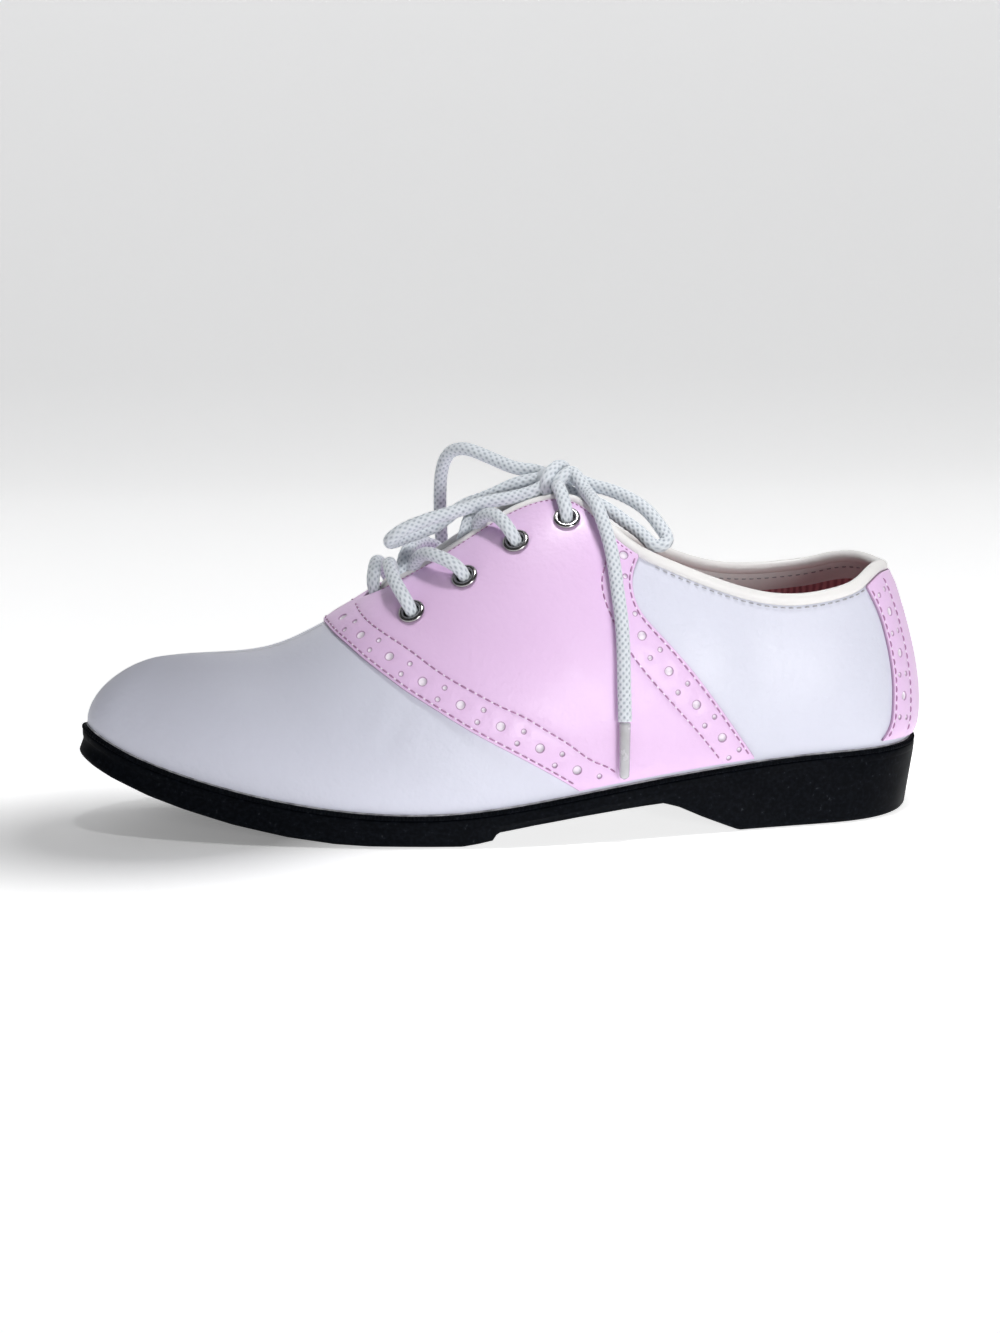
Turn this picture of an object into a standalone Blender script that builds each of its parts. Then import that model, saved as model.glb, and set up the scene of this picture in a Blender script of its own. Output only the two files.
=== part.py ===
"""Left lace-up saddle shoe: moulded sole, hollow upper, pink saddle and counter, eyelets and a tied lace."""
import math

import bmesh
import bpy
import numpy as np
from mathutils import Matrix, Vector

NAME = "lace_up_flat"
MM = 0.001

# Driving sizes in millimetres. The tables below are shares of these or millimetres.
SOLE_LENGTH = 267.0
BALL_WIDTH = 85.0
INSTEP_HEIGHT = 103.5
HEEL_HEIGHT = 21.5

# Thicknesses, gaps and margins
WALL = 1.8
OVERLAY = 1.0
SEAM_GAP = 0.3
BINDING_GAP = 0.6
OVERLAY_LIFT = 0.5
WELT_MARGIN = 1.6
INSOLE_INSET = WALL + 1.1
INSOLE_THICK = 2.6
TONGUE_THICK = 1.6
COLLAR_BEAD = 1.6
THROAT_BEAD = 1.1
LACE_RADIUS = 2.1
AGLET_RADIUS = 1.7

# The row frame's origin, from the toe tip along the foot and from the foot's axis across it
MIDDLE_ALONG = 133.48
MIDDLE_ACROSS = -1.365

# Places along the foot, from the toe
THROAT_START = 88.0
BINDING_START = 93.5
CORNER_START = 144.0
CORNER_END = 184.0
TONGUE_FRONT = 84.0
TONGUE_TOP = 163.0
TONGUE_EDGE_ANGLE = 56.0

# Round the feather line, where the upper meets the sole: heel back, lateral side, toe tip, medial side.
# Shares: along and crown of SOLE_LENGTH, across of BALL_WIDTH (lateral negative), seat of HEEL_HEIGHT.
# crown is where the section ends on the ridge, power its squareness, bulge (mm) its belly at belly_angle.
# taper (mm) is how far the sole's wall leans in at its foot.
RIB_COLUMNS = ("along", "across", "seat", "crown", "power", "bulge", "belly_angle", "taper")
RIBS = np.array([
    (0.994, -0.020, 1.060, 0.885, 0.90, 3.5, 24.0, 2.9),
    (0.966, -0.260, 1.070, 0.878, 1.20, 1.8, 13.0, 2.8),
    (0.900, -0.390, 1.070, 0.845, 1.75, 2.0, 12.0, 2.0),
    (0.805, -0.430, 1.030, 0.790, 2.00, 1.6, 13.0, 1.5),
    (0.655, -0.490, 0.860, 0.655, 2.10, 1.5, 17.0, 1.5),
    (0.525, -0.530, 0.645, 0.525, 2.10, 1.8, 20.0, 1.5),
    (0.395, -0.511, 0.465, 0.395, 2.00, 2.2, 22.0, 1.5),
    (0.262, -0.412, 0.533, 0.262, 2.00, 2.0, 22.0, 1.2),
    (0.145, -0.288, 0.811, 0.165, 2.00, 1.2, 22.0, 0.5),
    (0.050, -0.124, 1.183, 0.113, 1.65, 0.6, 22.0, -0.6),
    (0.005, 0.060, 1.480, 0.098, 1.60, 0.3, 22.0, -1.4),
    (0.040, 0.295, 1.240, 0.113, 1.65, 0.6, 22.0, -0.6),
    (0.130, 0.440, 0.880, 0.165, 2.00, 1.0, 22.0, 0.5),
    (0.262, 0.505, 0.545, 0.262, 2.00, 1.8, 22.0, 1.2),
    (0.395, 0.455, 0.460, 0.395, 2.00, 1.6, 22.0, 1.5),
    (0.560, 0.300, 0.710, 0.560, 2.10, 1.2, 20.0, 1.5),
    (0.720, 0.285, 0.950, 0.720, 2.10, 1.2, 15.0, 1.5),
    (0.870, 0.305, 1.040, 0.830, 1.75, 2.0, 12.0, 2.0),
    (0.966, 0.205, 1.055, 0.878, 1.20, 1.8, 13.0, 2.8),
])
RIB_SCALES = np.array([SOLE_LENGTH, BALL_WIDTH, HEEL_HEIGHT, SOLE_LENGTH, 1.0, 1.0, 1.0, 1.0])

# The ridge over the foot; behind the throat it is the closed last's top, which the collar cuts off.
CROWN_COLUMNS = ("along", "height", "across")
CROWN = np.array([
    (0.098, 0.513, 0.045), (0.125, 0.516, 0.044), (0.160, 0.5165, 0.040), (0.188, 0.519, 0.035),
    (0.215, 0.528, 0.030), (0.243, 0.551, 0.025), (0.270, 0.585, 0.020), (0.307, 0.638, 0.012),
    (0.345, 0.698, 0.006), (0.393, 0.768, 0.000), (0.450, 0.862, 0.000), (0.506, 0.950, 0.000),
    (0.560, 1.000, 0.000), (0.607, 1.022, 0.000), (0.655, 1.045, 0.000), (0.750, 1.115, 0.000),
    (0.825, 1.165, 0.000), (0.885, 1.195, 0.000),
])

# How far up its section the wall runs, in degrees of the section's curve
TOPLINE_COLUMNS = ("along", "lateral", "medial")
TOPLINE = np.array([
    (88.0, 90.0, 90.0), (91.0, 86.0, 86.0), (96.0, 83.5, 83.5), (105.0, 82.5, 82.5), (120.0, 81.5, 81.5),
    (135.0, 80.5, 80.5), (144.0, 78.5, 78.5), (150.0, 74.6, 74.6), (155.0, 67.7, 67.7), (160.0, 58.8, 59.7),
    (166.0, 51.6, 53.2), (175.0, 45.0, 46.8), (188.0, 37.7, 39.2), (201.0, 32.0, 33.4), (213.0, 29.1, 31.2),
    (222.0, 29.5, 31.6), (227.5, 31.8, 32.8), (232.0, 34.8, 34.7), (236.3, 36.3, 36.3),
])

# Saddle edges: where the front and the rear edge cross each section angle
SADDLE_COLUMNS = ("angle", "front", "rear")
SADDLE = np.array([
    (0.0, 149.0, 203.0), (8.0, 133.3, 195.1), (18.0, 116.4, 185.4), (28.0, 103.6, 174.9), (35.0, 96.0, 168.2),
    (40.0, 91.8, 166.3), (45.0, 88.3, 167.0), (50.0, 85.3, 170.0), (60.0, 80.9, 173.8), (72.0, 77.3, 176.9),
    (90.0, 75.5, 179.0),
])

# Counter's front edge: distance round the feather line from the heel's back at each section angle
COUNTER_FOOT = 1.6
COUNTER_COLUMNS = ("angle", "reach")
COUNTER = np.array([
    (0.0, 38.0), (4.1, 33.3), (8.7, 31.8), (15.0, 31.0), (21.8, 31.8), (27.6, 34.2), (31.9, 37.7),
    (39.0, 42.0),
])

# Eyelets, toe end first, the same on both sides
EYELET_COLUMNS = ("along", "angle")
EYELETS = ((100.4, 60.0), (116.9, 62.2), (132.8, 64.0), (148.5, 65.2))
EYELET_HOLE_RADIUS = 3.25
EYELET_PROFILE = ((2.35, -2.9), (2.95, -2.9), (2.95, 0.3), (3.9, 0.3), (3.75, 0.8), (3.0, 1.15), (2.35, 0.85))

# Underside of the sole: toe spring, forefoot tread, its step, waist, slanted heel breast and heel
UNDERSIDE_COLUMNS = ("along", "height")
UNDERSIDE = np.array([
    (-3.0, 23.6), (0.0, 22.0), (3.0, 20.2), (8.0, 17.6), (19.0, 13.0), (29.5, 9.6), (44.0, 5.6), (60.0, 2.3),
    (74.0, 0.5), (84.0, 0.0), (112.0, 0.0), (117.0, 0.8), (121.5, 1.8), (122.5, 4.0), (134.0, 5.9),
    (148.0, 7.8), (162.0, 9.3), (169.0, 9.9), (175.0, 10.3), (180.0, 8.8), (188.0, 5.0), (196.0, 1.6),
    (200.0, 0.0), (270.0, 0.0),
])

# Side of the sole from its top edge down: outward offset and drop from the top, then a share of the taper
SOLE_SIDE_COLUMNS = ("outward", "drop")
SOLE_SIDE = ((0.0, 0.0), (0.3, 1.0), (0.2, 3.3), (-0.3, 3.6), (-0.2, 4.6))
SOLE_FOOT_RISE = 1.2
SOLE_FOOT_EDGE = 1.0

# Lace routes over the skin (along, section angle, height over it); angles past 90 are on the medial side
FIRST_CROSSING = (
    (116.6, 64.0, 4.6), (112.5, 70.0, 6.6), (108.5, 77.0, 6.2), (105.2, 84.0, 4.0), (103.8, 90.0, 2.8),
    (105.2, 96.0, 4.0), (108.5, 103.0, 6.2), (112.5, 110.0, 6.6), (116.6, 116.0, 4.6),
)
RISER_ROUTE = ((148.5, 66.5, 4.8), (148.4, 70.0, 5.4), (148.2, 74.0, 5.7))
NEAR_END_ROUTE = (
    (157.4, 63.5, 6.2), (158.9, 56.5, 5.0), (160.0, 48.8, 4.4), (160.5, 40.0, 4.1), (161.0, 33.2, 4.1),
    (161.0, 27.2, 4.1), (160.8, 21.8, 4.1), (160.7, 13.0, 4.1),
)
NEAR_AGLET_ROUTE = ((160.7, 12.8, 4.0), (160.6, 7.0, 4.0), (160.5, 2.2, 4.2))
FAR_END_ROUTE = (
    (117.5, 131.0, 7.0), (116.0, 138.0, 4.6), (115.5, 144.0, 4.2), (115.5, 151.0, 4.1), (115.8, 158.0, 4.1),
    (116.0, 164.0, 4.1),
)
FAR_AGLET_ROUTE = ((116.0, 164.4, 4.0), (116.0, 170.0, 4.0), (116.0, 175.0, 4.2))

# Free runs of the lace (along, across, height)
BAR = (
    (98.3, -22.9, 72.3), (95.8, -18.8, 76.9), (94.6, -13.8, 80.3), (94.6, -8.0, 81.9), (95.0, 0.0, 81.4),
    (94.8, 8.0, 81.9), (95.0, 13.8, 80.3), (96.2, 18.6, 76.9), (99.0, 22.0, 72.3),
)
SECOND_CROSSING = (
    (130.7, -22.0, 93.1), (128.4, -18.9, 96.0), (126.2, -14.6, 97.4), (124.2, -10.2, 96.4),
    (122.6, -5.6, 94.1), (121.8, 0.0, 93.0), (122.6, 5.0, 94.6), (124.4, 9.4, 96.6), (126.6, 13.4, 97.0),
    (129.0, 15.8, 95.6), (131.5, 16.2, 92.6),
)
KNOT_CENTRE = (147.5, -2.0, 107.0)
KNOT_RADII = (6.6, 5.6, 5.4)
LATERAL_RISER_TOP = (147.8, -8.1, 106.4)
MEDIAL_RISER_TOP = (147.8, 4.1, 106.4)
NEAR_LEAD = ((152.1, -6.9, 109.2), (154.0, -10.6, 107.2), (155.6, -14.6, 103.9))
FAR_LEAD = (
    (143.2, 2.8, 108.8), (138.0, 5.8, 109.4), (132.6, 9.4, 111.2), (127.4, 13.0, 113.4), (122.6, 17.2, 114.8),
    (118.8, 22.0, 113.4), (116.8, 26.4, 108.4), (116.3, 29.2, 100.0), (116.6, 30.0, 88.0),
)
TOE_LOOP = (
    (140.2, 0.0, 106.2), (136.6, 1.2, 105.2), (131.6, 2.6, 102.9), (126.4, 3.4, 100.6), (121.0, 3.4, 98.7),
    (118.0, 3.0, 97.1), (114.6, 3.2, 94.5), (109.7, 3.4, 91.4), (104.0, 2.4, 89.6), (99.4, 0.6, 88.3),
    (96.3, -2.2, 87.9), (95.6, -5.4, 89.1), (98.2, -7.3, 91.7), (102.8, -7.4, 93.9), (108.3, -7.0, 95.7),
    (113.8, -6.4, 97.1), (119.4, -5.6, 98.5), (124.9, -5.0, 99.9), (130.4, -4.9, 100.9), (136.0, -4.9, 101.9),
    (141.7, -5.2, 103.7),
)
HEEL_LOOP = (
    (154.8, -1.2, 106.4), (159.5, -4.2, 104.8), (163.6, -7.0, 103.8), (167.5, -10.2, 102.4),
    (171.6, -14.2, 100.2), (175.2, -18.2, 97.0), (178.0, -21.6, 92.8), (178.9, -24.2, 89.2),
    (176.2, -24.6, 87.8), (172.4, -21.4, 90.6), (168.4, -17.4, 94.0), (164.2, -13.6, 97.2),
    (159.6, -9.8, 100.0), (156.0, -6.8, 101.5), (152.9, -4.8, 102.5),
)

# Colours
WHITE_LEATHER = (0.80, 0.81, 0.88)
PINK_LEATHER = (0.82, 0.55, 0.78)
BLACK_RUBBER = (0.010, 0.011, 0.013)
LACE_WHITE = (0.82, 0.84, 0.86)
NICKEL = (0.60, 0.60, 0.62)
INSOLE_ROSE = (0.42, 0.20, 0.22)
AGLET_CLEAR = (0.62, 0.62, 0.66)

LATERAL, MEDIAL = -1, 1


def periodic_slopes(rows):
    """Slopes of the smooth closed curve through the rows."""
    count = len(rows)
    matrix = 4.0 * np.eye(count) + np.roll(np.eye(count), 1, 0) + np.roll(np.eye(count), -1, 0)
    return np.linalg.solve(matrix, 3.0 * (np.roll(rows, -1, 0) - np.roll(rows, 1, 0)))


def smooth_table(xs, ys):
    """Natural cubic curve through (x, y) rows, as a function of x."""
    xs, ys = np.asarray(xs, float), np.asarray(ys, float)
    count, step = len(xs), np.diff(xs)
    matrix, right = np.eye(count), np.zeros(count)
    for i in range(1, count - 1):
        matrix[i, i - 1:i + 2] = step[i - 1], 2.0 * (step[i - 1] + step[i]), step[i]
        right[i] = 6.0 * ((ys[i + 1] - ys[i]) / step[i] - (ys[i] - ys[i - 1]) / step[i - 1])
    bend = np.linalg.solve(matrix, right)

    def value(x):
        x = np.clip(np.asarray(x, float), xs[0], xs[-1])
        i = np.clip(np.searchsorted(xs, x) - 1, 0, count - 2)
        t, h = x - xs[i], step[i]
        slope = (ys[i + 1] - ys[i]) / h - h * (2.0 * bend[i] + bend[i + 1]) / 6.0
        return ys[i] + t * slope + t * t * bend[i] / 2.0 + t ** 3 * (bend[i + 1] - bend[i]) / (6.0 * h)

    return value


RIB_ROWS = RIBS * RIB_SCALES
RIB_SLOPES = periodic_slopes(RIB_ROWS)
ROUND = float(len(RIB_ROWS))
SCAN = np.linspace(0.0, ROUND, 4001)

crown_height = smooth_table(CROWN[:, 0] * SOLE_LENGTH, CROWN[:, 1] * INSTEP_HEIGHT)
crown_across = smooth_table(CROWN[:, 0] * SOLE_LENGTH, CROWN[:, 2] * BALL_WIDTH)
top_curves = {LATERAL: smooth_table(TOPLINE[:, 0], TOPLINE[:, 1]),
              MEDIAL: smooth_table(TOPLINE[:, 0], TOPLINE[:, 2])}
saddle_front = smooth_table(SADDLE[:, 0], SADDLE[:, 1])
saddle_rear = smooth_table(SADDLE[:, 0], SADDLE[:, 2])
counter_reach = smooth_table(COUNTER[:, 0], COUNTER[:, 1])


def ring(turn):
    """Columns of RIBS, in millimetres, at a place round the feather line counted in rows."""
    turn = np.asarray(turn, float)
    i = np.floor(turn).astype(int) % len(RIB_ROWS)
    j = (i + 1) % len(RIB_ROWS)
    u = (turn - np.floor(turn))[..., None]
    return ((2 * u ** 3 - 3 * u ** 2 + 1) * RIB_ROWS[i] + (u ** 3 - 2 * u ** 2 + u) * RIB_SLOPES[i]
            + (3 * u ** 2 - 2 * u ** 3) * RIB_ROWS[j] + (u ** 3 - u ** 2) * RIB_SLOPES[j])


SCAN_RING = ring(SCAN)
SCAN_ARC = np.concatenate([[0.0], np.cumsum(np.hypot(*np.diff(SCAN_RING[:, :2], axis=0).T))])


def turn_at(side, column, value):
    """Place on one side of the feather line where a falling-to-the-toe column of RIBS has a value."""
    values = SCAN_RING[:, RIB_COLUMNS.index(column)]
    toe = int(np.argmin(values[1000:3000])) + 1000
    if side == LATERAL:
        return np.interp(-np.asarray(value, float), -values[:toe + 1], SCAN[:toe + 1])
    return np.interp(np.asarray(value, float), values[toe:], SCAN[toe:])


def turn_at_reach(side, reach):
    """Place on one side at a distance round the feather line from the heel's back."""
    if side == LATERAL:
        return float(np.interp(reach, SCAN_ARC, SCAN))
    return float(np.interp(SCAN_ARC[-1] - reach, SCAN_ARC, SCAN))


def column_range(column):
    """Smallest and largest value of a column of RIBS on the smooth ring."""
    values = SCAN_RING[:, RIB_COLUMNS.index(column)]
    return float(values.min()), float(values.max())


def skin(turn, angle):
    """Point of the upper's outer face: up one section's curve from the feather line to the ridge."""
    turn, angle = np.broadcast_arrays(np.asarray(turn, float), np.asarray(angle, float))
    along, across, seat, crown, power, bulge, belly, _ = np.moveaxis(ring(turn), -1, 0)
    seat = seat + SEAM_GAP
    rad = np.radians(angle)
    inward = 1.0 - np.maximum(np.cos(rad), 0.0) ** (2.0 / power)
    upward = np.sin(rad) ** (2.0 / (2.0 + 0.35 * (power - 2.0)))
    to_crown = np.stack([crown - along, crown_across(crown) - across], -1)
    unit = to_crown / np.linalg.norm(to_crown, axis=-1, keepdims=True)
    rise = angle / belly
    belly_out = bulge * rise * np.exp(1.0 - rise) * np.maximum(np.cos(rad), 0.0)
    plan = np.stack([along, across], -1) + to_crown * inward[..., None] - unit * belly_out[..., None]
    height = seat + (crown_height(crown) - seat) * upward
    return np.concatenate([plan, height[..., None]], -1)


def outward(turn, angle):
    """Unit normal of the upper's outer face."""
    turn, angle = np.broadcast_arrays(np.asarray(turn, float), np.asarray(angle, float))
    low = np.clip(angle, 0.6, 88.0)
    round_it = skin(turn + 0.01, low) - skin(turn - 0.01, low)
    up_it = skin(turn, low + 0.4) - skin(turn, low - 0.4)
    normal = np.cross(up_it, round_it)
    crown = ring(turn)[..., RIB_COLUMNS.index("crown")]
    slope = (crown_height(crown + 0.5) - crown_height(crown - 0.5))
    ridge = np.stack([-slope, 0.0 * slope, 1.0 + 0.0 * slope], -1)
    normal = np.where((angle > 89.9)[..., None], ridge, normal)
    return normal / np.linalg.norm(normal, axis=-1, keepdims=True)


def lifted(turn, angle, lift):
    """Point over (positive) or under the upper's outer face."""
    return skin(turn, angle) + outward(turn, angle) * np.asarray(lift, float)[..., None]


def top_angle(side, crown):
    """Section angle of the wall's top edge."""
    crown = np.asarray(crown, float)
    return np.where(crown <= THROAT_START, 90.0, np.minimum(top_curves[side](crown), 90.0))


def over_skin(along, angle, lift):
    """Point over the skin; angles past 90 count down the medial side."""
    side = LATERAL if angle <= 90.0 else MEDIAL
    place = turn_at(side, "crown", along)
    return lifted(place, angle if side == LATERAL else 180.0 - angle, lift)


def underside(along):
    """Height of the sole's underside."""
    return np.interp(along, UNDERSIDE[:, 0], UNDERSIDE[:, 1])


def metres(point):
    """A point of the tables' frame in the row frame."""
    return Vector(((point[0] - MIDDLE_ALONG) * MM, (point[1] - MIDDLE_ACROSS) * MM, point[2] * MM))


def reset_scene():
    for old in list(bpy.data.objects):
        bpy.data.objects.remove(old, do_unlink=True)
    for name in (NAME, "cutters"):
        made = bpy.data.collections.new(name)
        bpy.context.scene.collection.children.link(made)
    bpy.data.collections["cutters"].hide_render = True


def make_material(name, colour, roughness, metallic=0.0):
    made = bpy.data.materials.new(name)
    made.use_nodes = True
    shader = made.node_tree.nodes["Principled BSDF"]
    shader.inputs["Base Color"].default_value = (*colour, 1.0)
    shader.inputs["Roughness"].default_value = roughness
    shader.inputs["Metallic"].default_value = metallic
    made.diffuse_color = (*colour, 1.0)
    return made


def add_object(name, data, colour, roughness, metallic=0.0):
    """A named sub-part with its own material."""
    made = bpy.data.objects.new(name, data)
    data.materials.append(make_material(name, colour, roughness, metallic))
    bpy.data.collections[NAME].objects.link(made)
    return made


def grid_mesh(name, grids, closed=False):
    """Quads through grids of points (columns by rows), joined where their edges coincide."""
    shape = bmesh.new()
    for grid in grids:
        verts = [[shape.verts.new(metres(point)) for point in column] for column in grid]
        pairs = list(zip(verts, verts[1:] + verts[:1])) if closed else list(zip(verts, verts[1:]))
        for this, after in pairs:
            for low in range(len(this) - 1):
                shape.faces.new((this[low], this[low + 1], after[low + 1], after[low]))
    bmesh.ops.remove_doubles(shape, verts=shape.verts, dist=1e-6)
    data = bpy.data.meshes.new(name)
    shape.to_mesh(data)
    shape.free()
    return data


def loft_mesh(name, sections):
    """Closed solid through closed section loops whose first and last loops shrink to an edge."""
    shape = bmesh.new()
    loops = [[shape.verts.new(metres(point)) for point in section] for section in sections]
    for this, after in zip(loops, loops[1:]):
        for low in range(len(this)):
            high = (low + 1) % len(this)
            shape.faces.new((this[low], this[high], after[high], after[low]))
    bmesh.ops.remove_doubles(shape, verts=shape.verts, dist=2e-6)
    bmesh.ops.dissolve_degenerate(shape, edges=shape.edges, dist=1e-7)
    bmesh.ops.recalc_face_normals(shape, faces=shape.faces)
    data = bpy.data.meshes.new(name)
    shape.to_mesh(data)
    shape.free()
    return data


def thicken(made, thickness, outward_side):
    solid = made.modifiers.new("wall", "SOLIDIFY")
    solid.thickness = thickness * MM
    solid.offset = 1.0 if outward_side else -1.0
    solid.use_even_offset = True
    solid.use_quality_normals = True


def cut(made, cutter):
    hole = made.modifiers.new("holes", "BOOLEAN")
    hole.operation = "DIFFERENCE"
    hole.solver = "EXACT"
    hole.object = cutter


def collar_columns():
    """Ridge places of the columns that end on the throat's and collar's edge, toe to heel."""
    heel = column_range("crown")[1]
    throat = np.linspace(BINDING_START, CORNER_START, 8)
    corner = np.linspace(CORNER_START, CORNER_END, 10)
    rear = CORNER_END + (heel - CORNER_END) * np.sin(np.linspace(0.0, math.pi / 2, 11))
    return np.concatenate([throat[:-1], corner[:-1], rear])


def crown_columns():
    """Ridge places of the upper's columns, close together where its sections fan out."""
    toe = column_range("crown")[0]
    fore = toe + (THROAT_START - toe) * (1.0 - np.cos(np.linspace(0.0, math.pi / 2, 13)))
    return np.concatenate([fore, [0.5 * (THROAT_START + BINDING_START)], collar_columns()])


def build_upper(hole_cutter):
    rows = np.linspace(0.0, 1.0, 11)
    crowns = crown_columns()
    grid = []
    for side, places in ((LATERAL, crowns[::-1]), (MEDIAL, crowns[1:-1])):
        for crown in places:
            grid.append(skin(turn_at(side, "crown", crown), rows * float(top_angle(side, crown))))
    made = add_object("upper", grid_mesh("upper", [grid], closed=True), WHITE_LEATHER, 0.38)
    thicken(made, WALL, outward_side=False)
    cut(made, hole_cutter)


def saddle_top(side, share):
    """Where a saddle column, a share of the way from front to rear edge, meets the wall's top."""
    low, high = float(saddle_front(90.0)), float(saddle_rear(90.0))
    for _ in range(40):
        mid = 0.5 * (low + high)
        angle = float(top_angle(side, mid))
        if mid < (1.0 - share) * saddle_front(angle) + share * saddle_rear(angle):
            low = mid
        else:
            high = mid
    return high


def build_saddle(hole_cutter):
    rows = np.linspace(0.0, 1.0, 11)
    slit = (THROAT_START - saddle_front(90.0)) / (saddle_rear(90.0) - saddle_front(90.0))
    shares = np.concatenate([[0.0, 0.5 * slit], np.linspace(slit, 1.0, 15)])
    grids = []
    for side in (LATERAL, MEDIAL):
        grid = []
        for share in shares[::side]:
            top = 90.0 if share <= slit + 1e-9 else float(top_angle(side, saddle_top(side, share)))
            angles = rows * top
            crowns = (1.0 - share) * saddle_front(angles) + share * saddle_rear(angles)
            grid.append(lifted(turn_at(side, "crown", crowns), angles, np.full(len(rows), OVERLAY_LIFT)))
        grids.append(grid)
    made = add_object("saddle", grid_mesh("saddle", grids), PINK_LEATHER, 0.4)
    thicken(made, OVERLAY, outward_side=True)
    cut(made, hole_cutter)


def build_counter():
    rows = np.linspace(COUNTER_FOOT / 34.5, 1.0, 8)
    spread = np.linspace(-1.0, 1.0, 19)
    grid = []
    for share in spread:
        side = LATERAL if share < 0.0 else MEDIAL
        column = []
        top = float(top_angle(side, ring(turn_at_reach(side, abs(share) * counter_reach(30.0)))[3]))
        for angle in rows * top:
            turn = turn_at_reach(side, abs(share) * float(counter_reach(angle)))
            column.append(lifted(turn, angle, OVERLAY_LIFT))
        grid.append(column)
    made = add_object("counter", grid_mesh("counter", [grid[::-1]]), PINK_LEATHER, 0.4)
    thicken(made, OVERLAY, outward_side=True)


def build_tongue():
    crowns = np.linspace(TONGUE_FRONT, TONGUE_TOP, 12)
    leaf = np.linspace(TONGUE_EDGE_ANGLE, 180.0 - TONGUE_EDGE_ANGLE, 11)
    grid = []
    for crown in crowns:
        drop = WALL + 0.5 + 4.3 * min(1.0, (crown - TONGUE_FRONT) / 22.0)
        narrow = 1.0 - 0.18 * max(0.0, (crown - TONGUE_TOP + 14.0) / 14.0) ** 2
        grid.append([over_skin(crown, 90.0 + (angle - 90.0) * narrow, -drop) for angle in leaf])
    made = add_object("tongue", grid_mesh("tongue", [grid[::-1]]), WHITE_LEATHER, 0.5)
    thicken(made, TONGUE_THICK, outward_side=False)


def stations(column_low, column_high, fixed):
    """Places along the foot, close together at both ends, with the fixed ones between."""
    fore = column_low + (fixed[0] - column_low) * (1.0 - np.cos(np.linspace(0.0, math.pi / 2, 9)))
    rear = fixed[-1] + (column_high - fixed[-1]) * np.sin(np.linspace(0.0, math.pi / 2, 9))
    return np.concatenate([fore, fixed[1:-1], rear])


def edge_frame(side, along):
    """Feather-line point, its outward direction in plan and its sole taper."""
    turn = turn_at(side, "along", along)
    here = ring(turn)
    step = ring(turn + 0.01) - ring(turn - 0.01)
    out = np.array([-step[1], step[0]])
    out = -out / np.linalg.norm(out)
    if out @ np.array([here[0] - 0.5 * SOLE_LENGTH, here[1] * 3.0]) < 0.0:
        out = -out
    return here[:3], out, here[7]


def build_outsole():
    low, high = column_range("along")
    fixed = [40.0] + [along for along in UNDERSIDE[:, 0] if 41.0 < along < 205.0] + [98.0, 212.0, 226.0]
    sections = []
    for along in stations(low, high, np.sort(fixed)):
        halves = []
        for side in (LATERAL, MEDIAL):
            foot, out, taper = edge_frame(side, along)
            half = []
            for offset, drop in SOLE_SIDE:
                half.append((*(foot[:2] + out * (WELT_MARGIN + offset)), foot[2] - drop))
            wall = foot[:2] + out * (WELT_MARGIN - 0.85 * taper)
            half.append((*wall, float(underside(wall[0])) + SOLE_FOOT_RISE))
            base = foot[:2] + out * (WELT_MARGIN - taper - SOLE_FOOT_EDGE)
            half.append((*base, float(underside(base[0]))))
            halves.append(np.array(half))
        lateral, medial = halves
        bottom_mid, top_mid = 0.5 * (lateral[-1] + medial[-1]), 0.5 * (lateral[0] + medial[0])
        sections.append([*lateral, bottom_mid, *medial[::-1], top_mid])
    add_object("outsole", loft_mesh("outsole", sections), BLACK_RUBBER, 0.5)


def build_insole():
    low, high = column_range("along")
    fixed = np.linspace(40.0, 228.0, 14)
    sections = []
    for along in stations(low, high, fixed):
        halves = []
        for side in (LATERAL, MEDIAL):
            foot, out, _ = edge_frame(side, along)
            plan = foot[:2] - out * INSOLE_INSET
            halves.append(np.array([(*plan, foot[2] + SEAM_GAP + INSOLE_THICK), (*plan, foot[2] + SEAM_GAP)]))
        lateral, medial = halves
        bottom_mid, top_mid = 0.5 * (lateral[1] + medial[1]), 0.5 * (lateral[0] + medial[0])
        sections.append([*lateral, bottom_mid, *medial[::-1], top_mid])
    add_object("insole", loft_mesh("insole", sections), INSOLE_ROSE, 0.8)


def smooth_route(points, spacing):
    """Points at an even spacing along the smooth curve through a route's points."""
    points = np.asarray(points, float)
    length = np.concatenate([[0.0], np.cumsum(np.linalg.norm(np.diff(points, axis=0), axis=1))])
    curves = [smooth_table(length, points[:, k]) for k in range(3)]
    count = max(2, int(round(length[-1] / spacing)) + 1)
    return np.stack([curve(np.linspace(0.0, length[-1], count)) for curve in curves], -1)


def tube(name, points, radius, colour, roughness, radii=None):
    """Round bar along a route, with closed ends."""
    data = bpy.data.curves.new(name, "CURVE")
    data.dimensions = "3D"
    data.bevel_depth = radius * MM
    data.bevel_resolution = 2
    data.use_fill_caps = True
    line = data.splines.new("POLY")
    line.points.add(len(points) - 1)
    for index, point in enumerate(points):
        line.points[index].co = (*metres(point), 1.0)
        line.points[index].radius = 1.0 if radii is None else radii[index] / radius
    return add_object(name, data, colour, roughness)


def edge_run(side, crown):
    """Unit direction of the wall's top edge."""
    places = np.clip([crown - 0.4, crown + 0.4], *column_range("crown"))
    ends = skin(turn_at(side, "crown", places), top_angle(side, places))
    if crown >= column_range("crown")[1] - 0.2:
        return np.array([0.0, 1.0, 0.0])
    return (ends[1] - ends[0]) / np.linalg.norm(ends[1] - ends[0])


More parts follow.
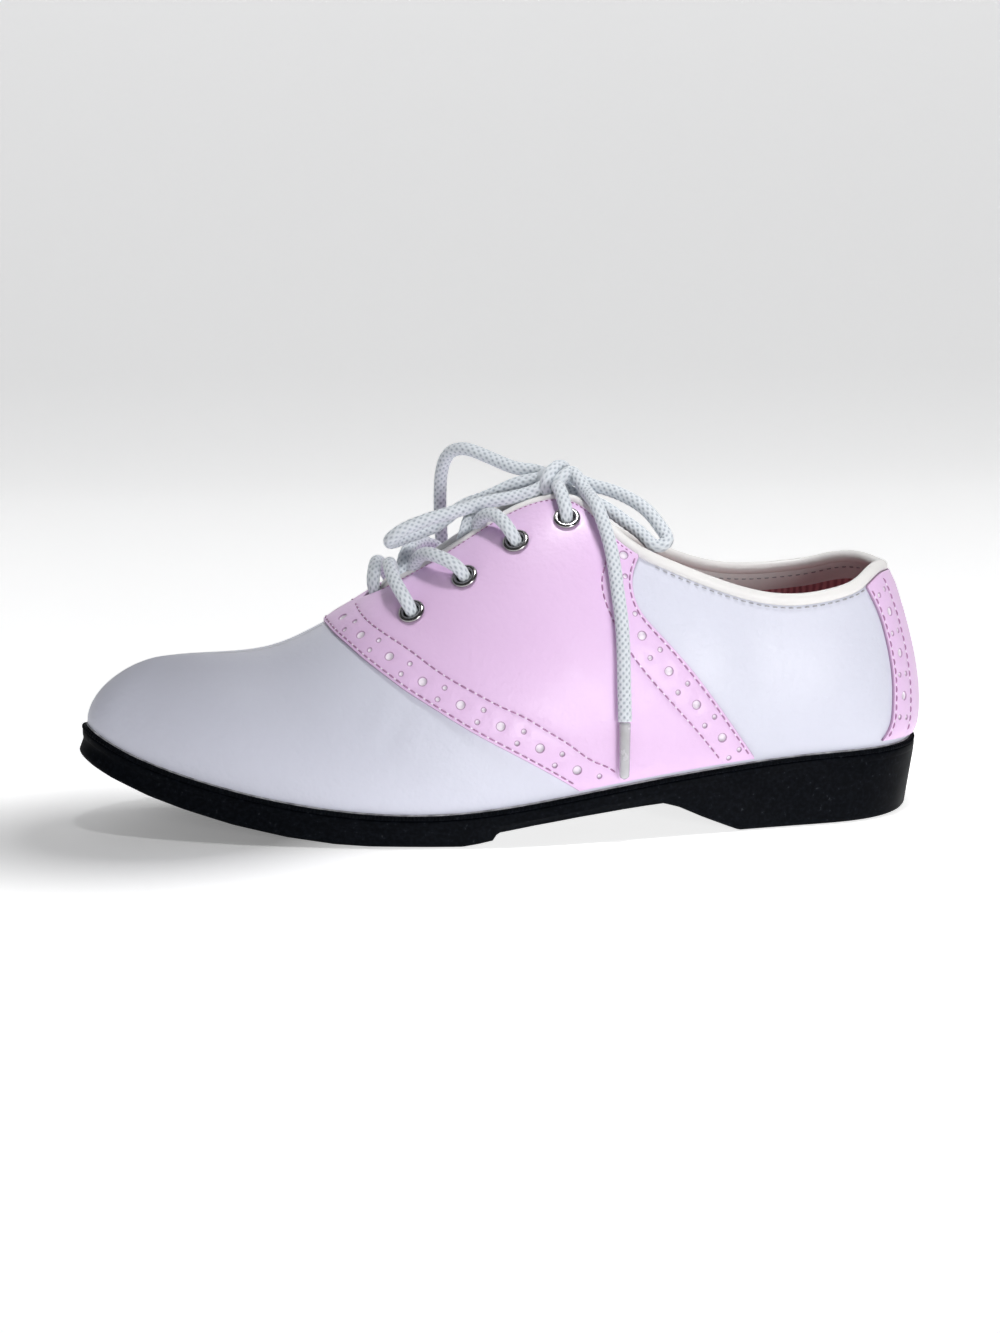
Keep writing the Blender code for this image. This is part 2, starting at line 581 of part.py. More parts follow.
def build_binding():
    crowns = collar_columns()
    points, radii = [], []
    for side, places in ((LATERAL, crowns), (MEDIAL, crowns[-2::-1])):
        for crown in places:
            turn, angle = turn_at(side, "crown", crown), float(top_angle(side, crown))
            saddle_share = np.interp(crown, (168.0, 178.0), (1.0, 0.0))
            radius = COLLAR_BEAD + (THROAT_BEAD - COLLAR_BEAD) * saddle_share
            middle = 0.5 * (saddle_share * (OVERLAY + OVERLAY_LIFT) - WALL)
            rise = np.cross(edge_run(side, crown), outward(turn, angle))
            rise *= np.sign(rise @ (skin(turn, angle) - skin(turn, angle - 0.5)))
            points.append(lifted(turn, angle, middle) + rise * (radius + BINDING_GAP))
            radii.append(radius)
    tube("binding", points, COLLAR_BEAD, WHITE_LEATHER, 0.4, radii)


def eyelet_frame(side, along, angle):
    """Matrix whose Z leaves the saddle's outer face at an eyelet."""
    turn = turn_at(side, "crown", along)
    normal = Vector(outward(turn, angle))
    place = metres(lifted(turn, angle, OVERLAY_LIFT + OVERLAY))
    return Matrix.Translation(place) @ normal.to_track_quat("Z", "Y").to_matrix().to_4x4()


def eyelet_places():
    for side, label in ((LATERAL, "lateral"), (MEDIAL, "medial")):
        for number, (along, angle) in enumerate(EYELETS, 1):
            yield f"eyelet_{label}_{number}", eyelet_frame(side, along, angle)


def build_hole_cutter():
    shape = bmesh.new()
    for _, matrix in eyelet_places():
        bmesh.ops.create_cone(shape, cap_ends=True, segments=10, radius1=EYELET_HOLE_RADIUS * MM,
                              radius2=EYELET_HOLE_RADIUS * MM, depth=8.0 * MM,
                              matrix=matrix @ Matrix.Translation((0.0, 0.0, -1.5 * MM)))
    data = bpy.data.meshes.new("eyelet_holes")
    shape.to_mesh(data)
    shape.free()
    made = bpy.data.objects.new("eyelet_holes", data)
    made.hide_render = True
    made.display_type = "WIRE"
    bpy.data.collections["cutters"].objects.link(made)
    return made


def build_eyelets():
    for name, matrix in eyelet_places():
        data = bpy.data.meshes.new(name)
        verts = [(radius * MM, 0.0, height * MM) for radius, height in EYELET_PROFILE]
        edges = [(i, (i + 1) % len(verts)) for i in range(len(verts))]
        data.from_pydata(verts, edges, [])
        made = add_object(name, data, NICKEL, 0.25, metallic=1.0)
        made.matrix_world = matrix
        turned = made.modifiers.new("turned", "SCREW")
        turned.steps = turned.render_steps = 10
        turned.use_merge_vertices = True
        turned.merge_threshold = 1e-5
        turned.use_normal_flip = True


def skin_route(route):
    return [over_skin(*row) for row in route]


def build_lace():
    for name, route in (("lace_bar", BAR), ("lace_crossing_1", skin_route(FIRST_CROSSING)),
                        ("lace_crossing_2", SECOND_CROSSING)):
        tube(name, smooth_route(route, 6.0), LACE_RADIUS, LACE_WHITE, 0.7)
    mirrored = [(along, 180.0 - angle, lift) for along, angle, lift in RISER_ROUTE]
    for label, route, top in (("lateral", RISER_ROUTE, LATERAL_RISER_TOP),
                              ("medial", mirrored, MEDIAL_RISER_TOP)):
        tube(f"lace_riser_{label}", skin_route(route) + [top], LACE_RADIUS, LACE_WHITE, 0.7)
    near = list(NEAR_LEAD) + skin_route(NEAR_END_ROUTE)
    far = list(FAR_LEAD) + skin_route(FAR_END_ROUTE)
    for name, route in (("lace_end_near", near), ("lace_end_far", far),
                        ("lace_loop_toe", TOE_LOOP), ("lace_loop_heel", HEEL_LOOP)):
        tube(name, smooth_route(route, 7.0), LACE_RADIUS, LACE_WHITE, 0.7)
    tube("aglet_near", skin_route(NEAR_AGLET_ROUTE), AGLET_RADIUS, AGLET_CLEAR, 0.3)
    tube("aglet_far", skin_route(FAR_AGLET_ROUTE), AGLET_RADIUS, AGLET_CLEAR, 0.3)


def build_knot():
    shape = bmesh.new()
    size = Matrix.Diagonal((*[radius * MM for radius in KNOT_RADII], 1.0))
    place = Matrix.Translation(metres(KNOT_CENTRE)) @ size
    bmesh.ops.create_uvsphere(shape, u_segments=12, v_segments=8, radius=1.0, matrix=place)
    data = bpy.data.meshes.new("lace_knot")
    shape.to_mesh(data)
    shape.free()
    add_object("lace_knot", data, LACE_WHITE, 0.7)


def main():
    reset_scene()
    hole_cutter = build_hole_cutter()
    build_outsole()
    build_insole()
    build_upper(hole_cutter)
    build_tongue()
    build_saddle(hole_cutter)
    build_counter()
    build_binding()
    build_eyelets()
    build_lace()
    build_knot()


main()
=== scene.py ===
"""Looks of the left lace-up saddle shoe: leather, stitching, brogue holes, braided lace and moulded sole."""
import math

import bmesh
import bpy
import numpy as np
from mathutils import Matrix, Vector, kdtree
from mathutils.geometry import delaunay_2d_cdt


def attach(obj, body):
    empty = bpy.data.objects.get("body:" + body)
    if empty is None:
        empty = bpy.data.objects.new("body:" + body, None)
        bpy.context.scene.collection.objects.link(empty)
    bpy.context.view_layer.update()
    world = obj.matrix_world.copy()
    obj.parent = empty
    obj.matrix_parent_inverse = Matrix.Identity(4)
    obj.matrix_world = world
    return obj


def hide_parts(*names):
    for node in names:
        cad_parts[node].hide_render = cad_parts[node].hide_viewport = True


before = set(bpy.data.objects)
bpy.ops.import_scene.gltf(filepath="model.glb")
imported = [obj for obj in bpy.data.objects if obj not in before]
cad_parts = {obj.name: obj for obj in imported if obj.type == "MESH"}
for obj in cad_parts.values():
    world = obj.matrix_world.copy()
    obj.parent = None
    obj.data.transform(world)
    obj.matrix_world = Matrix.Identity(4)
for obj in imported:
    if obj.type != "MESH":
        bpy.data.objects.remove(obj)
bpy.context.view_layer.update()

MM = 0.001

# Driving sizes in millimetres. The tables below are shares of these or millimetres.
SOLE_LENGTH = 267.0
BALL_WIDTH = 85.0
INSTEP_HEIGHT = 103.5
HEEL_HEIGHT = 21.5

# Thicknesses, gaps and margins
WALL = 1.8
OVERLAY = 1.0
SEAM_GAP = 0.3
BINDING_GAP = 0.6
OVERLAY_LIFT = 0.5
WELT_MARGIN = 1.6
INSOLE_INSET = WALL + 1.1
INSOLE_THICK = 2.6
INSOLE_TOE_RUN = 40.0
TONGUE_THICK = 1.6
TONGUE_GAP = 0.5
TONGUE_SINK = 4.3
TONGUE_SINK_RUN = 22.0
TONGUE_TIP_RUN = 14.0
TONGUE_NARROWING = 0.18
TONGUE_ROUND = 1.2
COLLAR_BEAD = 1.6
THROAT_BEAD = 1.1
LACE_RADIUS = 2.1
AGLET_RADIUS = 1.7
AGLET_TAPER = 0.12
AGLET_NOSE = 0.93  # share of the length where the nose starts to round

# The row frame's origin, from the toe tip along the foot and from the foot's axis across it
MIDDLE_ALONG = 133.48
MIDDLE_ACROSS = -1.365

# Places along the foot, from the toe
THROAT_START = 88.0
BINDING_START = 93.5
CORNER_START = 144.0
CORNER_END = 184.0
TONGUE_FRONT = 84.0
TONGUE_TOP = 163.0
SADDLE_LEAVES_EDGE = (168.0, 178.0)
INSOLE_HEEL = 220.0

# Section angle of the tongue's long edges
TONGUE_EDGE_ANGLE = 56.0

# Round the feather line, where the upper meets the sole: heel back, lateral side, toe tip, medial side.
# Shares: along and crown of SOLE_LENGTH, across of BALL_WIDTH (lateral negative), seat of HEEL_HEIGHT.
# crown is where the section ends on the ridge, power its squareness, bulge (mm) its belly at belly_angle.
# taper (mm) is how far the sole's wall leans in at its foot.
RIB_COLUMNS = ("along", "across", "seat", "crown", "power", "bulge", "belly_angle", "taper")
RIBS = np.array([
    (0.994, -0.020, 1.060, 0.885, 0.90, 3.5, 24.0, 2.9),
    (0.966, -0.260, 1.070, 0.878, 1.20, 1.8, 13.0, 2.8),
    (0.900, -0.390, 1.070, 0.845, 1.75, 2.0, 12.0, 2.0),
    (0.805, -0.430, 1.030, 0.790, 2.00, 1.6, 13.0, 1.5),
    (0.655, -0.490, 0.860, 0.655, 2.10, 1.5, 17.0, 1.5),
    (0.525, -0.530, 0.645, 0.525, 2.10, 1.8, 20.0, 1.5),
    (0.395, -0.511, 0.465, 0.395, 2.00, 2.2, 22.0, 1.5),
    (0.262, -0.412, 0.533, 0.262, 2.00, 2.0, 22.0, 1.2),
    (0.145, -0.288, 0.811, 0.165, 2.00, 1.2, 22.0, 0.5),
    (0.050, -0.124, 1.183, 0.113, 1.65, 0.6, 22.0, -0.6),
    (0.005, 0.060, 1.480, 0.098, 1.60, 0.3, 22.0, -1.4),
    (0.040, 0.295, 1.240, 0.113, 1.65, 0.6, 22.0, -0.6),
    (0.130, 0.440, 0.880, 0.165, 2.00, 1.0, 22.0, 0.5),
    (0.262, 0.505, 0.545, 0.262, 2.00, 1.8, 22.0, 1.2),
    (0.395, 0.455, 0.460, 0.395, 2.00, 1.6, 22.0, 1.5),
    (0.560, 0.300, 0.710, 0.560, 2.10, 1.2, 20.0, 1.5),
    (0.720, 0.285, 0.950, 0.720, 2.10, 1.2, 15.0, 1.5),
    (0.870, 0.305, 1.040, 0.830, 1.75, 2.0, 12.0, 2.0),
    (0.966, 0.205, 1.055, 0.878, 1.20, 1.8, 13.0, 2.8),
])
RIB_SCALES = np.array([SOLE_LENGTH, BALL_WIDTH, HEEL_HEIGHT, SOLE_LENGTH, 1.0, 1.0, 1.0, 1.0])

# The ridge over the foot (along, height, across, as shares); behind the throat it is the closed last's top,
# which the collar cuts off.
CROWN = np.array([
    (0.098, 0.513, 0.045), (0.125, 0.516, 0.044), (0.160, 0.5165, 0.040), (0.188, 0.519, 0.035),
    (0.215, 0.528, 0.030), (0.243, 0.551, 0.025), (0.270, 0.585, 0.020), (0.307, 0.638, 0.012),
    (0.345, 0.698, 0.006), (0.393, 0.768, 0.000), (0.450, 0.862, 0.000), (0.506, 0.950, 0.000),
    (0.560, 1.000, 0.000), (0.607, 1.022, 0.000), (0.655, 1.045, 0.000), (0.750, 1.115, 0.000),
    (0.825, 1.165, 0.000), (0.885, 1.195, 0.000),
])

# How far up its section the wall runs (along, lateral, medial), in degrees of the section's curve
TOPLINE = np.array([
    (88.0, 90.0, 90.0), (91.0, 86.0, 86.0), (96.0, 83.5, 83.5), (105.0, 82.5, 82.5), (120.0, 81.5, 81.5),
    (135.0, 80.5, 80.5), (144.0, 78.5, 78.5), (150.0, 74.6, 74.6), (155.0, 67.7, 67.7), (160.0, 58.8, 59.7),
    (166.0, 51.6, 53.2), (175.0, 45.0, 46.8), (188.0, 37.7, 39.2), (201.0, 32.0, 33.4), (213.0, 29.1, 31.2),
    (222.0, 29.5, 31.6), (227.5, 31.8, 32.8), (232.0, 34.8, 34.7), (236.3, 36.3, 36.3),
])

# Saddle edges: where the front and the rear edge cross each section angle (angle, front, rear)
SADDLE = np.array([
    (0.0, 149.0, 203.0), (8.0, 133.3, 195.1), (18.0, 116.4, 185.4), (28.0, 103.6, 174.9), (35.0, 96.0, 168.2),
    (40.0, 91.8, 166.3), (45.0, 88.3, 167.0), (50.0, 85.3, 170.0), (60.0, 80.9, 173.8), (72.0, 77.3, 176.9),
    (90.0, 75.5, 179.0),
])

# Counter's front edge: section angle and distance round the feather line from the heel's back. It starts at
# the angle COUNTER_FOOT.
COUNTER_FOOT = 1.6
COUNTER = np.array([
    (0.0, 38.0), (4.1, 33.3), (8.7, 31.8), (15.0, 31.0), (21.8, 31.8), (27.6, 34.2), (31.9, 37.7),
    (39.0, 42.0),
])

# Eyelets (along, section angle), toe end first, the same on both sides
EYELETS = ((100.4, 60.0), (116.9, 62.2), (132.8, 64.0), (148.5, 65.2))
EYELET_HOLE_RADIUS = 3.25
EYELET_OPENING = 3.3
EYELET_PROFILE = np.array([  # radius and height over the saddle, round the ring's section
    (2.45, -2.9), (2.95, -2.9), (2.95, 0.12), (3.92, 0.12), (4.16, 0.26), (4.2, 0.48), (4.08, 0.76),
    (3.8, 1.0), (3.42, 1.12), (3.05, 1.12), (2.76, 1.0), (2.56, 0.78), (2.47, 0.5), (2.45, 0.1),
])

# Underside of the sole (along, height): toe spring, forefoot tread, its step, waist, slanted heel breast
# and heel
UNDERSIDE = np.array([
    (-3.0, 23.6), (0.0, 22.0), (3.0, 20.2), (8.0, 17.6), (19.0, 13.0), (29.5, 9.6), (44.0, 5.6), (60.0, 2.3),
    (74.0, 0.5), (84.0, 0.0), (112.0, 0.0), (117.0, 0.8), (121.5, 1.8), (122.5, 4.0), (134.0, 5.9),
    (148.0, 7.8), (162.0, 9.3), (169.0, 9.9), (175.0, 10.3), (180.0, 8.8), (188.0, 5.0), (196.0, 1.6),
    (200.0, 0.0), (270.0, 0.0),
])

# Milled lip of the sole (outward offset, drop from the feather line, share of the teeth's depth), the side
# under it (offset, drop) and the rounded foot (inward share, share of its rise)
SOLE_LIP = (
    (-4.2, 0.0, 0.0), (-0.55, 0.0, 0.15), (-0.12, 0.06, 0.8), (0.1, 0.25, 1.0), (0.22, 0.6, 1.0),
    (0.2, 0.95, 0.8), (0.02, 1.12, 0.25), (-0.22, 1.2, 0.0),
)
SOLE_SIDE = (
    (-0.3, 1.32), (-0.16, 1.45), (0.0, 1.6), (0.06, 1.9), (0.07, 2.6), (0.04, 3.2), (0.0, 3.42),
    (-0.06, 3.56), (-0.08, 3.8), (-0.08, 4.6),
)
SOLE_FOOT = ((0.12, 0.7), (0.35, 0.35), (0.7, 0.1), (1.0, 0.0))
SOLE_FOOT_RISE = 1.2
SOLE_FOOT_EDGE = 1.0
SOLE_LEAN = 0.85

# Lace routes over the skin (along, section angle, height over it); angles past 90 are on the medial side
NEAR_END_ROUTE = (
    (157.4, 63.5, 6.2), (158.9, 56.5, 5.0), (160.0, 48.8, 4.4), (160.5, 40.0, 4.1), (161.0, 33.2, 4.1),
    (161.0, 27.2, 4.1), (160.8, 21.8, 4.1), (160.7, 13.0, 4.1),
)
NEAR_AGLET_ROUTE = ((160.7, 12.8, 4.0), (160.6, 7.0, 4.0), (160.5, 2.2, 4.2))
FAR_END_ROUTE = (
    (117.5, 131.0, 7.0), (116.0, 138.0, 4.6), (115.5, 144.0, 4.2), (115.5, 151.0, 4.1), (115.8, 158.0, 4.1),
    (116.0, 164.0, 4.1),
)
FAR_AGLET_ROUTE = ((116.0, 164.4, 4.0), (116.0, 170.0, 4.0), (116.0, 175.0, 4.2))

# Knot and free runs of the lace (along, across, height)
KNOT_CENTRE = (147.5, -2.0, 107.0)
KNOT_RADII = (6.6, 5.6, 5.4)
KNOT_CORE = (0.8, 0.74, 0.72)  # shares of the radii under the wrap
NEAR_LEAD = ((152.1, -6.9, 109.2), (154.0, -10.6, 107.2), (155.6, -14.6, 103.9))
FAR_LEAD = (
    (143.2, 2.8, 108.8), (138.0, 5.8, 109.4), (132.6, 9.4, 111.2), (127.4, 13.0, 113.4), (122.6, 17.2, 114.8),
    (118.8, 22.0, 113.4), (116.8, 26.4, 108.4), (116.3, 29.2, 100.0), (116.6, 30.0, 88.0),
)
TOE_LOOP = (
    (140.2, 0.0, 106.2), (136.6, 1.2, 105.2), (131.6, 2.6, 102.9), (126.4, 3.4, 100.6), (121.0, 3.4, 98.7),
    (118.0, 3.0, 97.1), (114.6, 3.2, 94.5), (109.7, 3.4, 91.4), (104.0, 2.4, 89.6), (99.4, 0.6, 88.3),
    (96.3, -2.2, 87.9), (95.6, -5.4, 89.1), (98.2, -7.3, 91.7), (102.8, -7.4, 93.9), (108.3, -7.0, 95.7),
    (113.8, -6.4, 97.1), (119.4, -5.6, 98.5), (124.9, -5.0, 99.9), (130.4, -4.9, 100.9), (136.0, -4.9, 101.9),
    (141.7, -5.2, 103.7),
)
HEEL_LOOP = (
    (154.8, -1.2, 106.4), (159.5, -4.2, 104.8), (163.6, -7.0, 103.8), (167.5, -10.2, 102.4),
    (171.6, -14.2, 100.2), (175.2, -18.2, 97.0), (178.0, -21.6, 92.8), (178.9, -24.2, 89.2),
    (176.2, -24.6, 87.8), (172.4, -21.4, 90.6), (168.4, -17.4, 94.0), (164.2, -13.6, 97.2),
    (159.6, -9.8, 100.0), (156.0, -6.8, 101.5), (152.9, -4.8, 102.5),
)

LATERAL, MEDIAL = -1, 1


def unit(vectors):
    return vectors / np.linalg.norm(vectors, axis=-1, keepdims=True)


def full_turn(count):
    """Angles round a circle."""
    return np.linspace(0.0, 2.0 * math.pi, count, endpoint=False)


def arc_along(points):
    """Distance of each point from the first, along the line."""
    return np.concatenate([[0.0], np.cumsum(np.linalg.norm(np.diff(points, axis=0), axis=1))])


def resample(wanted, arc, rows):
    """Rows of a line read at other distances along it."""
    return np.stack([np.interp(wanted, arc, rows[:, k]) for k in range(rows.shape[1])], -1)


def raised(plan, height):
    """Plan points at their heights."""
    return np.concatenate([plan, height[:, None]], -1)


def periodic_slopes(rows):
    """Slopes of the smooth closed curve through the rows."""
    count = len(rows)
    matrix = 4.0 * np.eye(count) + np.roll(np.eye(count), 1, 0) + np.roll(np.eye(count), -1, 0)
    return np.linalg.solve(matrix, 3.0 * (np.roll(rows, -1, 0) - np.roll(rows, 1, 0)))


def smooth_table(xs, ys):
    """Natural cubic curve through (x, y) rows, as a function of x."""
    xs, ys = np.asarray(xs, float), np.asarray(ys, float)
    count, step = len(xs), np.diff(xs)
    matrix, right = np.eye(count), np.zeros(count)
    for i in range(1, count - 1):
        matrix[i, i - 1:i + 2] = step[i - 1], 2.0 * (step[i - 1] + step[i]), step[i]
        right[i] = 6.0 * ((ys[i + 1] - ys[i]) / step[i] - (ys[i] - ys[i - 1]) / step[i - 1])
    bend = np.linalg.solve(matrix, right)

    def value(x):
        x = np.clip(np.asarray(x, float), xs[0], xs[-1])
        i = np.clip(np.searchsorted(xs, x) - 1, 0, count - 2)
        t, h = x - xs[i], step[i]
        slope = (ys[i + 1] - ys[i]) / h - h * (2.0 * bend[i] + bend[i + 1]) / 6.0
        return ys[i] + t * slope + t * t * bend[i] / 2.0 + t ** 3 * (bend[i + 1] - bend[i]) / (6.0 * h)

    return value


RIB_ROWS = RIBS * RIB_SCALES
RIB_SLOPES = periodic_slopes(RIB_ROWS)
ROUND = float(len(RIB_ROWS))
SCAN = np.linspace(0.0, ROUND, 4001)

crown_height = smooth_table(CROWN[:, 0] * SOLE_LENGTH, CROWN[:, 1] * INSTEP_HEIGHT)
crown_across = smooth_table(CROWN[:, 0] * SOLE_LENGTH, CROWN[:, 2] * BALL_WIDTH)
top_curves = {LATERAL: smooth_table(TOPLINE[:, 0], TOPLINE[:, 1]),
              MEDIAL: smooth_table(TOPLINE[:, 0], TOPLINE[:, 2])}
saddle_front = smooth_table(SADDLE[:, 0], SADDLE[:, 1])
saddle_rear = smooth_table(SADDLE[:, 0], SADDLE[:, 2])
counter_reach = smooth_table(COUNTER[:, 0], COUNTER[:, 1])


def ring(turn):
    """Columns of RIBS, in millimetres, at a place round the feather line counted in rows."""
    turn = np.asarray(turn, float)
    i = np.floor(turn).astype(int) % len(RIB_ROWS)
    j = (i + 1) % len(RIB_ROWS)
    u = (turn - np.floor(turn))[..., None]
    return ((2 * u ** 3 - 3 * u ** 2 + 1) * RIB_ROWS[i] + (u ** 3 - 2 * u ** 2 + u) * RIB_SLOPES[i]
            + (3 * u ** 2 - 2 * u ** 3) * RIB_ROWS[j] + (u ** 3 - u ** 2) * RIB_SLOPES[j])


SCAN_RING = ring(SCAN)
SCAN_ARC = np.concatenate([[0.0], np.cumsum(np.hypot(*np.diff(SCAN_RING[:, :2], axis=0).T))])


def turn_at(side, column, value):
    """Place on one side of the feather line where a falling-to-the-toe column of RIBS has a value."""
    values = SCAN_RING[:, RIB_COLUMNS.index(column)]
    quarter = len(SCAN) // 4
    toe = int(np.argmin(values[quarter:3 * quarter])) + quarter
    if side == LATERAL:
        return np.interp(-np.asarray(value, float), -values[:toe + 1], SCAN[:toe + 1])
    return np.interp(np.asarray(value, float), values[toe:], SCAN[toe:])


def column_range(column):
    """Smallest and largest value of a column of RIBS on the smooth ring."""
    values = SCAN_RING[:, RIB_COLUMNS.index(column)]
    return float(values.min()), float(values.max())


def skin(turn, angle):
    """Point of the upper's outer face: up one section's curve from the feather line to the ridge."""
    turn, angle = np.broadcast_arrays(np.asarray(turn, float), np.asarray(angle, float))
    along, across, seat, crown, power, bulge, belly, _ = np.moveaxis(ring(turn), -1, 0)
    seat = seat + SEAM_GAP
    rad = np.radians(angle)
    inward = 1.0 - np.maximum(np.cos(rad), 0.0) ** (2.0 / power)
    upward = np.sin(rad) ** (2.0 / (2.0 + 0.35 * (power - 2.0)))
    to_crown = np.stack([crown - along, crown_across(crown) - across], -1)
    rise = angle / belly
    belly_out = bulge * rise * np.exp(1.0 - rise) * np.maximum(np.cos(rad), 0.0)
    plan = np.stack([along, across], -1) + to_crown * inward[..., None]
    plan = plan - unit(to_crown) * belly_out[..., None]
    height = seat + (crown_height(crown) - seat) * upward
    return np.concatenate([plan, height[..., None]], -1)


def outward(turn, angle):
    """Unit normal of the upper's outer face."""
    turn, angle = np.broadcast_arrays(np.asarray(turn, float), np.asarray(angle, float))
    low = np.clip(angle, 0.6, 88.0)
    round_it = skin(turn + 0.01, low) - skin(turn - 0.01, low)
    up_it = skin(turn, low + 0.4) - skin(turn, low - 0.4)
    normal = np.cross(up_it, round_it)
    crown = ring(turn)[..., RIB_COLUMNS.index("crown")]
    slope = crown_height(crown + 0.5) - crown_height(crown - 0.5)
    ridge = np.stack([-slope, 0.0 * slope, 1.0 + 0.0 * slope], -1)
    normal = np.where((angle > 89.9)[..., None], ridge, normal)
    return unit(normal)


def lifted(turn, angle, lift):
    """Point over (positive) or under the upper's outer face."""
    return skin(turn, angle) + outward(turn, angle) * np.asarray(lift, float)[..., None]


def top_angle(side, crown):
    """Section angle of the wall's top edge."""
    crown = np.asarray(crown, float)
    return np.where(crown <= THROAT_START, 90.0, np.minimum(top_curves[side](crown), 90.0))


def over_skin(along, angle, lift):
    """Point over the skin; angles past 90 count down the medial side."""
    side = LATERAL if angle <= 90.0 else MEDIAL
    place = turn_at(side, "crown", along)
    return lifted(place, angle if side == LATERAL else 180.0 - angle, lift)


def underside(along):
    """Height of the sole's underside."""
    return np.interp(along, UNDERSIDE[:, 0], UNDERSIDE[:, 1])


# Sizes of the looks in millimetres: the lining's white band with its rows, and the vamp's ridge, whose rounding
# grows to its half width over a run from the toe
LINING_BAND = 5.9
BAND_DEPTHS = (0.0, 0.7, 1.6, 2.4, 2.6, 2.8, 4.0, 4.8, LINING_BAND - 0.15, LINING_BAND)
RIDGE_ROUND = 8.0
RIDGE_FROM = 26.0
RIDGE_GROWTH = 34.0

# Stitches; a sewing line's groove has rows of an offset and a depth
STITCH_PITCH = 2.75
STITCH_LENGTH = 2.35
STITCH_RADIUS = 0.27
STITCH_SUNK = 0.16
STITCH_INSET = 1.0
PRICK_RADIUS = 0.24
THROAT_STITCHES = {"pitch": 1.7, "length": 1.2, "radius": 0.2, "slot": 1, "sunk": 0.05}
COLLAR_STITCHES = {"pitch": 2.6, "length": 1.9, "radius": 0.22}
LINING_STITCHES = {"pitch": 2.6, "length": 1.8, "radius": 0.22}
GROOVE = ((-0.55, 0.06), (0.0, 0.24), (0.55, 0.06))
GROOVE_SPACING = 1.1
GROOVE_CLEARANCE = 0.3

# Overlays: heights over the skin, thinned edge, spacing of their points, and a degree of section laid flat
PANEL_TOP = OVERLAY_LIFT + OVERLAY
PANEL_UNDER = 0.25
EDGE_ROUND = 0.4
SKIVE_DEPTH = 0.55
SKIVE_WIDTH = 5.0
PANEL_SPACING = 2.0
LATTICE_CLEARANCE = 0.72 * PANEL_SPACING
DEGREE_MM = 1.2

# Brogue holes: radii (one under BLIND_HOLE doesn't go through), depth, rim, and their places along a band
BAND_WIDTH = 10.0
BIG_HOLE = 1.25
SMALL_HOLE = 0.65
BLIND_HOLE = 2.0
HOLE_DEPTH = 0.36
HOLE_RIM = 0.3
HOLE_MARGIN = 0.8
SMALL_HOLE_OFFSET = 2.05
BROGUE_PITCH = 13.7
FIRST_PAIR = 2.2
FRONT_BROGUE_START = 10.0
REAR_BROGUE_START = 10.5
COUNTER_BROGUE_START = 4.0

# Teeth of the sole's lip and the glue line above it
TOOTH_PITCH = 1.1
TOOTH_DEPTH = 0.26
TOOTH_POINTS = 6
SEAM_POINTS = 700
SEAM_RADIUS = 0.3
SEAM_WOBBLE = 0.22
SEAM_LIFT = 0.16

# Braid of the lace, and the spacing of a cord's coarse path
BRAID_STEP = 0.36
BRAID_STRANDS = 6
BRAID_RELIEF = 0.19
BRAID_PERIOD = 2.2
BRAID_INSET = 0.04
CORD_STEP = 1.8

# Second stitch line of the saddle's front and rear bands (along the ridge, section angle)
FRONT_SEAM = np.array([
    (160.8, 0.6), (159.3, 2.5), (151.5, 6.2), (144.5, 10.2), (137.5, 14.2), (130.7, 18.5), (123.9, 22.5),
    (117.6, 27.0), (111.2, 32.2), (105.1, 38.2), (98.9, 46.0), (92.6, 55.2), (86.8, 69.5), (85.4, 87.0),
])
REAR_SEAM = np.array([
    (192.9, 0.6), (183.9, 8.4), (173.0, 17.5), (163.5, 27.1), (158.3, 35.9), (156.6, 43.5), (158.7, 49.2),
    (161.7, 55.0),
])

# Soft troughs (negative) and ridges in the leather: ridge place and section angle of both ends, width, height
CREASES = (
    (88.0, 18.0, 96.0, 30.0, 3.2, -0.22), (92.0, 16.0, 101.0, 27.0, 3.6, 0.16),
    (84.0, 20.0, 90.0, 34.0, 3.4, 0.14), (80.0, 24.0, 85.0, 40.0, 4.0, -0.14),
    (196.0, 14.0, 190.0, 30.0, 7.0, 0.22), (205.0, 8.0, 200.0, 26.0, 6.0, -0.2),
)

# Where the lacing (with its radius) and the bow's cords run on inside the knot (along, across, height)
LATERAL_RISER_INNER = ((147.6, -3.2, 105.6, 2.0), (147.8, -6.6, 105.0, 2.1))
MEDIAL_RISER_INNER = ((147.6, 1.2, 105.6, 2.0), (147.8, 4.1, 106.4, 2.1))
NEAR_INNER = ((146.6, -5.2, 105.2), (148.6, -8.6, 107.2))
FAR_INNER = ((147.0, -0.4, 107.2),)
TOE_INNER = ((145.0, -1.0, 106.8),)
TOE_RETURN = ((146.0, -2.4, 105.6),)
HEEL_INNER = ((150.4, -1.6, 106.8),)
HEEL_RETURN = ((149.0, -3.2, 104.4),)
KNOT_WRAP = (
    (151.6, 0.0, 109.6), (149.6, -2.8, 110.8), (146.8, -5.6, 109.9), (144.8, -7.4, 107.6),
    (144.3, -7.6, 105.0), (145.4, -6.4, 102.8), (147.6, -4.0, 101.6), (150.2, -0.8, 101.8),
    (152.2, 1.6, 104.2), (152.6, 2.0, 107.2),
)

